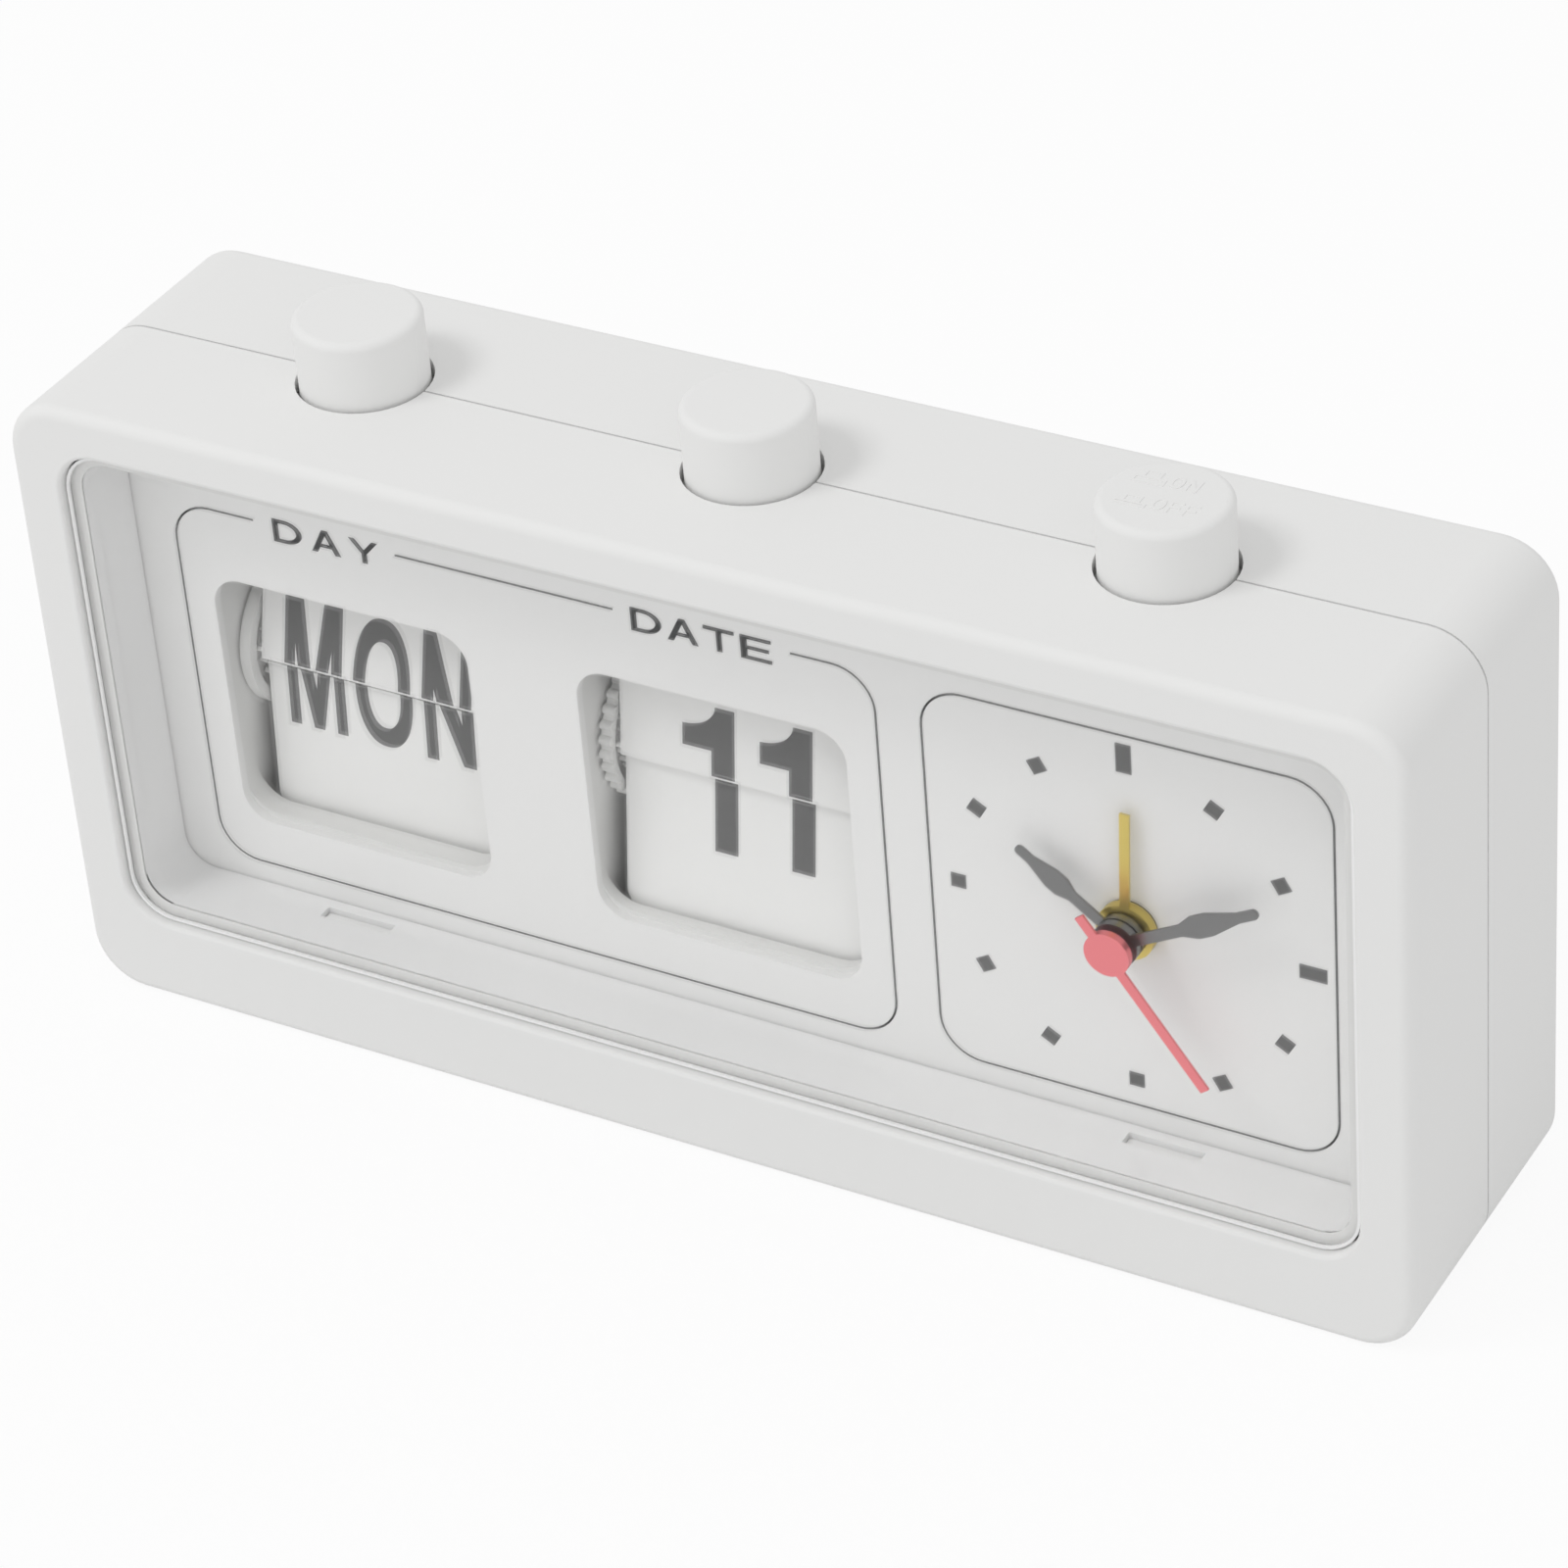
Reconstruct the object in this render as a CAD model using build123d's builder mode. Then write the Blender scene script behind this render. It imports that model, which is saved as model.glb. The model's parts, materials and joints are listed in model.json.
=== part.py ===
from build123d import *
import os
from math import asin, cos, degrees, radians, sin, sqrt, tan

# Flip-calendar desk alarm clock, in millimetres.
# X runs to the viewer's right, Y to the back and Z up. The origin is under the middle of the case.

os.makedirs("parts", exist_ok=True)

# Clearances
overrun = 1.0
press_gap = 0.02
run_gap = 0.06
slip_gap = 0.1
swing_gap = 0.4

# Case shells
case_width = 185.0
case_height = 87.0
case_depth = 42.5
case_corner = 7.2
case_edge = 1.5
case_wall = 2.2
seam_gap = 0.3
tongue_length = 1.8
tongue_wall = 0.9

# Front opening
opening_side_margin = 6.8
opening_top_margin = 6.0
opening_bottom_margin = 11.7
opening_corner = 6.0
opening_edge = 0.6
rim_depth = 10.0
rim_wall = 1.6

# Lens tray
lens_recess = 0.8
lens_wall = 1.6
lens_gap = 0.15
lens_edge = 1.5
lens_flange_width = 1.3
lens_flange_thickness = 1.4
snap_width = 10.0
snap_length = 2.0
snap_spread = 113.0
snap_bead = 0.8

# Dial plate
dial_depth = 11.6
dial_thickness = 1.2
dial_gap = 0.6
window_width = 36.9
window_height = 36.3
window_corner = 4.2
window_middle_z = 41.25
clock_z = 42.7
wall_gap_share = 0.3575
unit_gap_share = 0.2776
clock_gap_share = 0.355

# Posts, ledges and screws of the case
ledge_width = 14.0
ledge_x = 27.0
dial_post_radius = 2.2
dial_post_side_gap = 7.3
dial_post_x_inner = 37.0
dial_screw_radius = 1.0
dial_screw_head_radius = 1.9
dial_screw_head_height = 1.2
dial_screw_bite = 5.0
boss_radius = 2.6
boss_side_gap = 20.3
boss_end_y = -2.0
boss_hole_gap = 0.2
case_screw_radius = 1.45
case_screw_bite = 8.0
case_screw_head_radius = 2.4
case_screw_head_height = 1.8
case_post_radius = 3.5
case_post_floor = 3.0

# Push buttons
button_side_gap = 38.9
button_front_gap = 0.45
button_radius = 8.0
button_height = 9.0
button_edge = 1.0
button_wall = 1.4
button_crown = 1.8
button_flange_width = 1.3
button_flange_height = 1.5
button_hole_gap = 0.5
button_drop = 0.5
button_boss_wall = 1.3
button_boss_length = 6.0
rod_radius = 2.5
alarm_travel = 3.0
alarm_mark_height = 0.1
shelf_drop = 5.8
shelf_thickness = 1.5
shelf_width = 14.0
shelf_reach = 7.0
spring_radius = 5.2
spring_wire = 0.35
spring_turns = 6

# Leaf units
drum_front_gap = 2.23
drum_z = 44.4
drum_radius_limit = 9.6
drum_share = 0.35
star_tooth_radius = 0.62
disc_thickness = 1.6
axle_radius = 1.5
axle_end = 0.3
leaf_width = 33.0
leaf_length = 20.8
leaf_thickness = 0.25
leaf_corner = 2.0
leaf_set_in = 2.4
flip_step = 1.0
flip_tail = 1.2
ear_radius = 0.35
ear_depth = 0.7
groove_gap = 0.3
day_leaf_count = 21
date_leaf_count = 31
day_front_angle = 14.0
day_hang_angle = 4.5
date_front_angle = 8.0
date_hang_angle = 8.5
back_angle_limit = 20.0
leaf_back_gap = 0.7

# Leaf unit frames
cheek_thickness = 1.6
cheek_top_z = 60.5
rest_gap = 0.45
rest_bar_depth = 1.2
rest_bar_height = 3.0
rest_bar_top_z = 58.0
trough_gap = 0.6
trough_floor = 1.4
sill_rise = 0.7
sill_thickness = 1.2
sill_round = 5.0
low_wall_gap = 0.1
low_wall_thickness = 1.2
low_wall_top_z = 34.0
flange_height = 3.4
flange_thickness = 1.4
unit_screw_radius = 0.9
unit_screw_head_radius = 1.6
unit_screw_head_height = 1.0
unit_screw_bite = 0.9
unit_screw_spread = 24.0
detent_thickness = 0.4
detent_width = 1.2
detent_foot_z = 24.0
detent_nose_radius = 0.4
detent_gap = 0.1

# Push rods and pawls
arm_drop = 2.0
arm_thickness = 2.0
arm_width = 4.0
leg_width = 1.4
leg_depth = 1.6
leg_bottom_z = 58.0
pawl_thickness = 0.4
pawl_width = 1.2
pawl_overlap = 4.0
pawl_gap = 0.38
pawl_tail = 0.6
nose_bite = 0.25
nose_height = 0.5

# Alarm switch
switch_width = 12.0
switch_depth = 10.0
switch_height = 10.0
switch_rod_depth = 2.5
switch_floor = 1.6

# Movement
movement_width = 40.0
movement_height = 40.0
movement_depth = 12.9
movement_wall = 1.4
movement_corner = 2.0
cover_thickness = 1.4
bush_radius = 3.5
bush_set_in = 0.2
wheel_thickness = 0.7
pinion_length = 1.1
mesh_gap = 0.1
tooth_height = 0.35
second_arbor_radius = 0.5
minute_pipe_radius = 1.2
hour_pipe_radius = 2.0
alarm_pipe_radius = 2.8
small_pinion_radius = 0.9
rotor_pinion_radius = 0.6
cannon_pinion_radius = 1.9
motion_pinion_radius = 1.3
alarm_pinion_radius = 1.6
second_wheel_radius = 4.0
third_wheel_radius = 4.4
motion_wheel_radius = 3.7
alarm_wheel_radius = 5.5
idler_wheel_radius = 3.4
arbor_radius = 0.8
pivot_radius = 0.4
rotor_radius = 1.6
rotor_length = 2.0
rotor_gap = 0.4
stator_thickness = 1.2
stator_width = 5.6
stator_length = 13.0
stator_post_radius = 0.8
coil_radius = 2.7
coil_length = 14.0
coil_flange_radius = 3.4
coil_flange_thickness = 1.0
coil_core_width = 2.4
coil_z = 14.4
board_width = 15.0
board_height = 11.0
board_thickness = 1.0
board_x = 11.0
board_z = 12.0
crystal_radius = 1.0
crystal_length = 6.0
wheel_start_y = 0.5
wheel_step = 1.4
idler_angle = 130.0
rotor_angle = 100.0

# Setting knobs in their pocket
knob_radius = 5.2
knob_length = 5.0
knob_grip_count = 16
knob_grip_radius = 0.5
knob_set_back = 0.7
knob_floor_gap = 0.4
pocket_margin = 1.6
pocket_wall = 1.6
pocket_corner = 4.0
shaft_hole_gap = 0.4

# Cell, contacts and door
cell_radius = 7.15
cell_length = 49.5
cell_nub_radius = 2.7
cell_nub_length = 1.0
cell_side_wall = 1.3
cell_middle_z = 43.0
cell_side_gap = 0.45
cell_end_gap = 2.6
cell_wall = 1.4
contact_thickness = 0.4
contact_width = 9.0
contact_wire = 0.4
contact_turns = 3
contact_radius = 3.6
door_thickness = 2.0
door_gap = 0.15
door_ledge = 1.0
door_pin_radius = 0.7
door_pin_length = 0.8
door_grip_count = 5
door_grip_pitch = 1.6
door_grip_width = 9.0
door_grip_height = 0.8
door_grip_depth = 0.5
door_grip_drop = 7.0

# Buzzer
buzzer_radius = 8.0
buzzer_height = 3.2
buzzer_z = 24.5
sound_hole_radius = 1.0
sound_ring_radius = 4.0
sound_hole_count = 6

# Hands, with the angles that they show at rest, clockwise from twelve
hand_thickness = 0.35
alarm_hand_height = 1.6
hour_hand_height = 2.9
minute_hand_height = 4.2
second_hand_height = 6.0
alarm_hand_length = 16.8
hour_hand_length = 16.0
minute_hand_length = 20.8
second_hand_length = 20.0
second_tail_length = 5.6
straight_hand_width = 1.25
blade_neck_width = 1.5
blade_full_width = 3.0
blade_tip_width = 1.3
blade_round = 0.6
hand_hub_radius = 2.9
hand_collar = 0.65
second_collar = 0.6
alarm_collar_gap = 0.3
alarm_hub_radius = 3.7
hour_hand_angle = 305.7
minute_hand_angle = 62.0
second_hand_angle = 143.1
alarm_hand_angle = 2.0
blade_neck_share = 0.46
blade_full_start_share = 0.56
blade_full_end_share = 0.66
blade_shoulder_share = 0.86

# Planes that most pieces are measured from
front_y = -case_depth / 2
back_y = case_depth / 2
inner_front_y = front_y + case_wall
inner_back_y = back_y - case_wall
middle_z = case_height / 2
inner_width = case_width - 2 * case_wall
inner_height = case_height - 2 * case_wall
inner_corner = case_corner - case_wall
inner_top_z = case_height - case_wall
opening_width = case_width - 2 * opening_side_margin
opening_height = case_height - opening_top_margin - opening_bottom_margin
opening_z = opening_bottom_margin + opening_height / 2
opening_top_z = case_height - opening_top_margin
rim_back_y = front_y + rim_depth
lens_front_y = front_y + lens_recess
lens_width = opening_width - 2 * lens_gap
lens_height = opening_height - 2 * lens_gap
lens_corner = opening_corner - lens_gap
dial_front_y = front_y + dial_depth
dial_back_y = dial_front_y + dial_thickness
chin_z = (case_wall + opening_bottom_margin - rim_wall) / 2
boss_x = inner_width / 2 - boss_side_gap
dial_post_x_outer = inner_width / 2 - dial_post_side_gap
boss_places = [(-boss_x, chin_z), (0, chin_z), (boss_x, chin_z)]
dial_post_places = [
    (-dial_post_x_outer, chin_z),
    (-dial_post_x_inner, chin_z),
    (dial_post_x_inner, chin_z),
    (dial_post_x_outer, chin_z),
]
button_x = case_width / 2 - button_side_gap
button_y = dial_back_y + button_radius + button_front_gap
button_places = {"day": -button_x, "date": 0, "alarm": button_x}
cap_top_z = case_height + button_height
cap_roof_z = cap_top_z - button_crown
cap_flange_top_z = inner_top_z - button_drop
cap_bottom_z = cap_flange_top_z - button_flange_height
shelf_top_z = inner_top_z - shelf_drop
shelf_bottom_z = shelf_top_z - shelf_thickness
shelf_front_y = button_y - shelf_reach
arm_top_z = shelf_bottom_z - arm_drop
arm_bottom_z = arm_top_z - arm_thickness
unit_depth = inner_back_y - dial_back_y
star_root_radius = min(drum_radius_limit, drum_share * unit_depth)
star_radius = star_root_radius + star_tooth_radius
nose_radius = star_root_radius + nose_bite
leaf_pivot_radius = star_root_radius - leaf_set_in
flip_pivot_radius = leaf_pivot_radius + flip_step
drum_y = dial_back_y + drum_front_gap + star_radius
lean_room = inner_back_y - leaf_back_gap - drum_y - leaf_pivot_radius
back_angle = min(back_angle_limit, degrees(asin(lean_room / leaf_length)))
rest_lean = (rest_bar_top_z - drum_z) * tan(radians(back_angle))
rest_back_y = drum_y + leaf_pivot_radius + rest_lean + rest_gap + rest_bar_depth
low_wall_back_y = drum_y + star_root_radius + low_wall_gap
trough_bottom_z = drum_z - leaf_pivot_radius - leaf_length - trough_gap - trough_floor
flange_bottom_z = trough_bottom_z - flange_height
sill_top_z = window_middle_z - window_height / 2 + sill_rise
leaf_half = leaf_width / 2
disc_inner = leaf_half + swing_gap
disc_outer = disc_inner + disc_thickness
cheek_inner = disc_outer + swing_gap
cheek_outer = cheek_inner + cheek_thickness
movement_back_y = dial_back_y + movement_depth
cover_back_y = movement_back_y + cover_thickness
cell_y = back_y - door_thickness - cell_side_gap - cell_radius
cell_bay_half = cell_radius + cell_side_gap
cell_x = inner_width / 2 - cell_bay_half - cell_side_wall
cell_bay_height = cell_length + cell_nub_length + 2 * cell_end_gap
cell_bay_floor_y = cell_y - cell_bay_half
unit_width = 2 * cheek_outer
bay_width = 2 * cell_bay_half + cell_wall + cell_side_wall
free_width = inner_width - 2 * unit_width - movement_width - bay_width
day_x = wall_gap_share * free_width + cheek_outer - inner_width / 2
date_x = day_x + unit_width + unit_gap_share * free_width
clock_x = date_x + cheek_outer + clock_gap_share * free_width + movement_width / 2
knob_back_y = back_y - knob_set_back
knob_front_y = knob_back_y - knob_length
pocket_floor_y = knob_front_y - knob_floor_gap


def facing(y, x=0, z=0):
    """Plane that faces the viewer, with its own x along X and its own y along Z."""
    return Plane(origin=(x, y, z), x_dir=(1, 0, 0), z_dir=(0, -1, 0))


def across(x):
    """Plane square to X, with its own x along Y and its own y along Z."""
    return Plane(origin=(x, 0, 0), x_dir=(0, 1, 0), z_dir=(1, 0, 0))


def write(piece, name):
    """Label a finished piece and write its file."""
    piece.part.label = name
    export_step(piece.part, f"parts/{name}.step")


# Front shell: rounded box half with the opening, its rim, the posts and the button cut-outs
with BuildPart() as front_shell:
    with BuildSketch(facing(front_y, z=middle_z)):
        RectangleRounded(case_width, case_height, case_corner)
    extrude(amount=-(case_depth - seam_gap) / 2)
    fillet(front_shell.faces().sort_by(Axis.Y)[0].edges(), case_edge)
    with BuildSketch(facing(inner_front_y, z=middle_z)):
        RectangleRounded(inner_width, inner_height, inner_corner)
    extrude(amount=-case_depth / 2, mode=Mode.SUBTRACT)
    with BuildSketch(facing(-seam_gap / 2 - tongue_length - slip_gap, z=middle_z)):
        RectangleRounded(
            inner_width + 2 * (tongue_wall + slip_gap),
            inner_height + 2 * (tongue_wall + slip_gap),
            inner_corner + tongue_wall + slip_gap,
        )
    extrude(amount=-case_depth / 2, mode=Mode.SUBTRACT)
    with BuildSketch(facing(inner_front_y, z=opening_z)):
        RectangleRounded(
            opening_width + 2 * rim_wall,
            opening_height + 2 * rim_wall,
            opening_corner + rim_wall,
        )
    extrude(amount=-(rim_depth - case_wall))
    with BuildSketch(facing(front_y - overrun, z=opening_z)):
        RectangleRounded(opening_width, opening_height, opening_corner)
    extrude(amount=-(rim_depth + 2 * overrun), mode=Mode.SUBTRACT)
    fillet(front_shell.faces().sort_by(Axis.Y)[0].inner_wires()[0].edges(), opening_edge)
    with BuildSketch(facing(inner_front_y)):
        with Locations(*boss_places):
            Circle(boss_radius)
    extrude(amount=-(boss_end_y - inner_front_y))
    with BuildSketch(facing(boss_end_y - case_screw_bite)):
        with Locations(*boss_places):
            Circle(case_screw_radius + press_gap)
    extrude(amount=-(case_screw_bite + overrun), mode=Mode.SUBTRACT)
    with BuildSketch(facing(inner_front_y)):
        with Locations(*dial_post_places):
            Circle(dial_post_radius)
        with Locations((-ledge_x, (opening_top_z + rim_wall + inner_top_z) / 2)):
            Rectangle(ledge_width, inner_top_z - opening_top_z - rim_wall)
        with Locations((ledge_x, (opening_top_z + rim_wall + inner_top_z) / 2)):
            Rectangle(ledge_width, inner_top_z - opening_top_z - rim_wall)
    extrude(amount=-(dial_front_y - inner_front_y))
    with BuildSketch(facing(dial_front_y - dial_screw_bite)):
        with Locations(*dial_post_places):
            Circle(dial_screw_radius + press_gap)
    extrude(amount=-(dial_screw_bite + overrun), mode=Mode.SUBTRACT)
    with BuildSketch(facing(rim_back_y - snap_length, z=opening_z)):
        with GridLocations(snap_spread, opening_height - snap_bead - lens_gap, 2, 2):
            Rectangle(snap_width - 2 * slip_gap, snap_bead + lens_gap)
    extrude(amount=-(snap_length - 2 * slip_gap))
    with BuildSketch(Plane.XY.offset(inner_top_z - overrun)):
        with Locations(*[(place, button_y) for place in button_places.values()]):
            Circle(button_radius + button_hole_gap)
    extrude(amount=case_wall + 2 * overrun, mode=Mode.SUBTRACT)
write(front_shell, "front_shell")

# Rear shell: the other half with its tongue, screw posts, button shelves, cell bay and knob pocket
motion_distance = cannon_pinion_radius + motion_wheel_radius + mesh_gap
alarm_distance = alarm_wheel_radius + alarm_pinion_radius + mesh_gap
time_knob_x = clock_x - motion_distance
alarm_knob_x = clock_x + alarm_distance
pocket_width = alarm_knob_x - time_knob_x + 2 * (knob_radius + pocket_margin)
pocket_height = 2 * (knob_radius + pocket_margin)
pocket_x = (time_knob_x + alarm_knob_x) / 2
door_pin_y = back_y - door_thickness / 2
door_bottom_z = cell_middle_z - cell_bay_height / 2 + door_gap
door_pin_z = door_bottom_z + door_thickness / 2
with BuildPart() as rear_shell:
    with BuildSketch(facing(seam_gap / 2, z=middle_z)):
        RectangleRounded(case_width, case_height, case_corner)
    extrude(amount=-(case_depth - seam_gap) / 2)
    fillet(rear_shell.faces().sort_by(Axis.Y)[-1].edges(), case_edge)
    with BuildSketch(facing(0, z=middle_z)):
        RectangleRounded(inner_width, inner_height, inner_corner)
    extrude(amount=-inner_back_y, mode=Mode.SUBTRACT)
    with BuildSketch(facing(-tongue_length, z=middle_z)):
        RectangleRounded(
            inner_width + 2 * tongue_wall,
            inner_height + 2 * tongue_wall,
            inner_corner + tongue_wall,
        )
        RectangleRounded(inner_width, inner_height, inner_corner, mode=Mode.SUBTRACT)
    extrude(amount=-(tongue_length + case_wall))
    with BuildSketch(facing(boss_end_y)):
        with Locations(*boss_places):
            Circle(case_post_radius)
    extrude(amount=-(inner_back_y - boss_end_y))
    with BuildSketch(facing(cell_bay_floor_y - cell_wall, cell_x, cell_middle_z)):
        Rectangle(2 * (cell_bay_half + cell_wall), cell_bay_height + 2 * cell_wall)
    extrude(amount=-(inner_back_y - cell_bay_floor_y + cell_wall))
    with BuildSketch(facing(pocket_floor_y - pocket_wall, pocket_x, clock_z)):
        RectangleRounded(
            pocket_width + 2 * pocket_wall,
            pocket_height + 2 * pocket_wall,
            pocket_corner + pocket_wall,
        )
    extrude(amount=-(inner_back_y - pocket_floor_y + pocket_wall))
    with BuildSketch(Plane.XY.offset(shelf_bottom_z)):
        with Locations(*[(place, (shelf_front_y + inner_back_y) / 2) for place in button_places.values()]):
            Rectangle(shelf_width, inner_back_y - shelf_front_y)
        with Locations(*[(place, button_y) for place in button_places.values()]):
            Circle(rod_radius + slip_gap, mode=Mode.SUBTRACT)
    extrude(amount=shelf_thickness)
    with BuildSketch(facing(boss_end_y - overrun)):
        with Locations(*boss_places):
            Circle(case_screw_radius + slip_gap)
    extrude(amount=-(case_depth / 2 - boss_end_y), mode=Mode.SUBTRACT)
    with BuildSketch(facing(boss_end_y + case_post_floor)):
        with Locations(*boss_places):
            Circle(case_screw_head_radius + slip_gap)
    extrude(amount=-case_depth, mode=Mode.SUBTRACT)
    with BuildSketch(facing(cell_bay_floor_y, cell_x, cell_middle_z)):
        Rectangle(2 * cell_bay_half, cell_bay_height)
    extrude(amount=-case_depth, mode=Mode.SUBTRACT)
    with BuildSketch(facing(back_y - door_thickness - door_ledge, cell_x, cell_middle_z)):
        with GridLocations(2 * cell_bay_half - door_ledge, 0, 2, 1):
            Rectangle(door_ledge, cell_bay_height / 2)
    extrude(amount=-door_ledge)
    with BuildSketch(across(cell_x)):
        with Locations((door_pin_y, door_pin_z)):
            Circle(door_pin_radius + slip_gap)
    extrude(amount=cell_bay_half + door_pin_length, both=True, mode=Mode.SUBTRACT)
    with BuildSketch(facing(pocket_floor_y, pocket_x, clock_z)):
        RectangleRounded(pocket_width, pocket_height, pocket_corner)
    extrude(amount=-case_depth, mode=Mode.SUBTRACT)
    with BuildSketch(facing(pocket_floor_y - pocket_wall - overrun, z=clock_z)):
        with Locations((time_knob_x, 0), (alarm_knob_x, 0)):
            Circle(arbor_radius + shaft_hole_gap)
    extrude(amount=-(pocket_wall + 2 * overrun), mode=Mode.SUBTRACT)
    with BuildSketch(facing(inner_back_y - overrun, clock_x, buzzer_z)):
        Circle(sound_hole_radius)
        with PolarLocations(sound_ring_radius, sound_hole_count):
            Circle(sound_hole_radius)
    extrude(amount=-(case_wall + 2 * overrun), mode=Mode.SUBTRACT)
    with BuildSketch(Plane.XY.offset(inner_top_z - overrun)):
        with Locations(*[(place, button_y) for place in button_places.values()]):
            Circle(button_radius + button_hole_gap)
    extrude(amount=case_wall + 2 * overrun, mode=Mode.SUBTRACT)
write(rear_shell, "rear_shell")

# Case screws in the rear posts
with BuildPart() as case_screws:
    with BuildSketch(facing(boss_end_y + case_post_floor)):
        with Locations(*boss_places):
            Circle(case_screw_head_radius)
    extrude(amount=-case_screw_head_height)
    with BuildSketch(facing(boss_end_y - case_screw_bite)):
        with Locations(*boss_places):
            Circle(case_screw_radius)
    extrude(amount=-(case_screw_bite + case_post_floor))
write(case_screws, "case_screws")

# Clear lens tray with its flange behind the rim and four snap windows
with BuildPart() as lens:
    with BuildSketch(facing(lens_front_y, z=opening_z)):
        RectangleRounded(lens_width, lens_height, lens_corner)
    extrude(amount=-(rim_back_y + lens_flange_thickness - lens_front_y))
    fillet(lens.faces().sort_by(Axis.Y)[0].edges(), lens_edge)
    with BuildSketch(facing(rim_back_y, z=opening_z)):
        RectangleRounded(
            opening_width + 2 * lens_flange_width,
            opening_height + 2 * lens_flange_width,
            opening_corner + lens_flange_width,
        )
    extrude(amount=-lens_flange_thickness)
    with BuildSketch(facing(lens_front_y + lens_wall, z=opening_z)):
        RectangleRounded(lens_width - 2 * lens_wall, lens_height - 2 * lens_wall, lens_corner - lens_wall)
    extrude(amount=-case_depth, mode=Mode.SUBTRACT)
    with BuildSketch(facing(rim_back_y - snap_length - slip_gap, z=opening_z)):
        with GridLocations(snap_spread, lens_height - lens_wall, 2, 2):
            Rectangle(snap_width, 2 * lens_wall)
    extrude(amount=-snap_length, mode=Mode.SUBTRACT)
write(lens, "lens")

# Dial plate with the two leaf windows
unit_screw_z = (flange_bottom_z + trough_bottom_z) / 2
unit_screw_places = [
    (centre + side * unit_screw_spread / 2, unit_screw_z) for centre in (day_x, date_x) for side in (-1, 1)
]
with BuildPart() as dial_plate:
    with BuildSketch(facing(dial_front_y)):
        with Locations((0, middle_z)):
            RectangleRounded(inner_width - 2 * dial_gap, inner_height - 2 * dial_gap, inner_corner - dial_gap)
        with Locations((day_x, window_middle_z), (date_x, window_middle_z)):
            RectangleRounded(window_width, window_height, window_corner, mode=Mode.SUBTRACT)
        with Locations((clock_x, clock_z)):
            Circle(bush_radius + slip_gap, mode=Mode.SUBTRACT)
        with Locations(*boss_places):
            Circle(boss_radius + boss_hole_gap, mode=Mode.SUBTRACT)
        with Locations(*dial_post_places):
            Circle(dial_screw_radius + slip_gap, mode=Mode.SUBTRACT)
    extrude(amount=-dial_thickness)
    with BuildSketch(facing(dial_back_y - unit_screw_bite)):
        with Locations(*unit_screw_places):
            Circle(unit_screw_radius + press_gap)
    extrude(amount=-(unit_screw_bite + overrun), mode=Mode.SUBTRACT)
write(dial_plate, "dial_plate")

# Screws that hold the dial plate on its posts
with BuildPart() as dial_screws:
    with BuildSketch(facing(dial_back_y)):
        with Locations(*dial_post_places):
            Circle(dial_screw_head_radius)
    extrude(amount=-dial_screw_head_height)
    with BuildSketch(facing(dial_front_y - dial_screw_bite)):
        with Locations(*dial_post_places):
            Circle(dial_screw_radius)
    extrude(amount=-(dial_screw_bite + dial_thickness))
write(dial_screws, "dial_screws")

# Screws that hold the two leaf units on the dial plate
with BuildPart() as unit_screws:
    with BuildSketch(facing(dial_back_y + flange_thickness)):
        with Locations(*unit_screw_places):
            Circle(unit_screw_head_radius)
    extrude(amount=-unit_screw_head_height)
    with BuildSketch(facing(dial_back_y - unit_screw_bite)):
        with Locations(*unit_screw_places):
            Circle(unit_screw_radius)
    extrude(amount=-(unit_screw_bite + flange_thickness))
write(unit_screws, "unit_screws")


def leaf_plane(centre_x, radius, turn, lean):
    """Plane of one leaf: its own y runs along the leaf, from a pivot at a turn round the drum.

    The lean is the leaf's angle from upright towards the back, so a hanging leaf has a lean past 90 degrees.
    """
    pivot = (centre_x, drum_y - radius * cos(radians(turn)), drum_z + radius * sin(radians(turn)))
    return Plane(origin=pivot, x_dir=(1, 0, 0), z_dir=(0, -cos(radians(lean)), sin(radians(lean))))


def add_leaves(planes, tail=0):
    """Leaf sheets with rounded outer corners, and the ears at their ends, on the given planes.

    A tail is the length of sheet on the other side of the ears.
    """
    side_end = leaf_length - leaf_corner
    flat_end = leaf_half - leaf_corner
    with BuildSketch(*planes) as sheets:
        with BuildLine():
            Polyline(
                (-leaf_half, side_end),
                (-leaf_half, -tail),
                (leaf_half, -tail),
                (leaf_half, side_end),
            )
            RadiusArc((leaf_half, side_end), (flat_end, leaf_length), -leaf_corner)
            Line((flat_end, leaf_length), (-flat_end, leaf_length))
            RadiusArc((-flat_end, leaf_length), (-leaf_half, side_end), -leaf_corner)
        make_face()
    extrude(sheets.sketch, amount=leaf_thickness / 2, both=True)
    ear_length = swing_gap + ear_depth
    ear_x = leaf_half + ear_length / 2
    with Locations(*planes):
        with Locations((-ear_x, 0, 0), (ear_x, 0, 0)):
            Cylinder(ear_radius, ear_length, rotation=(0, 90, 0))


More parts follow.
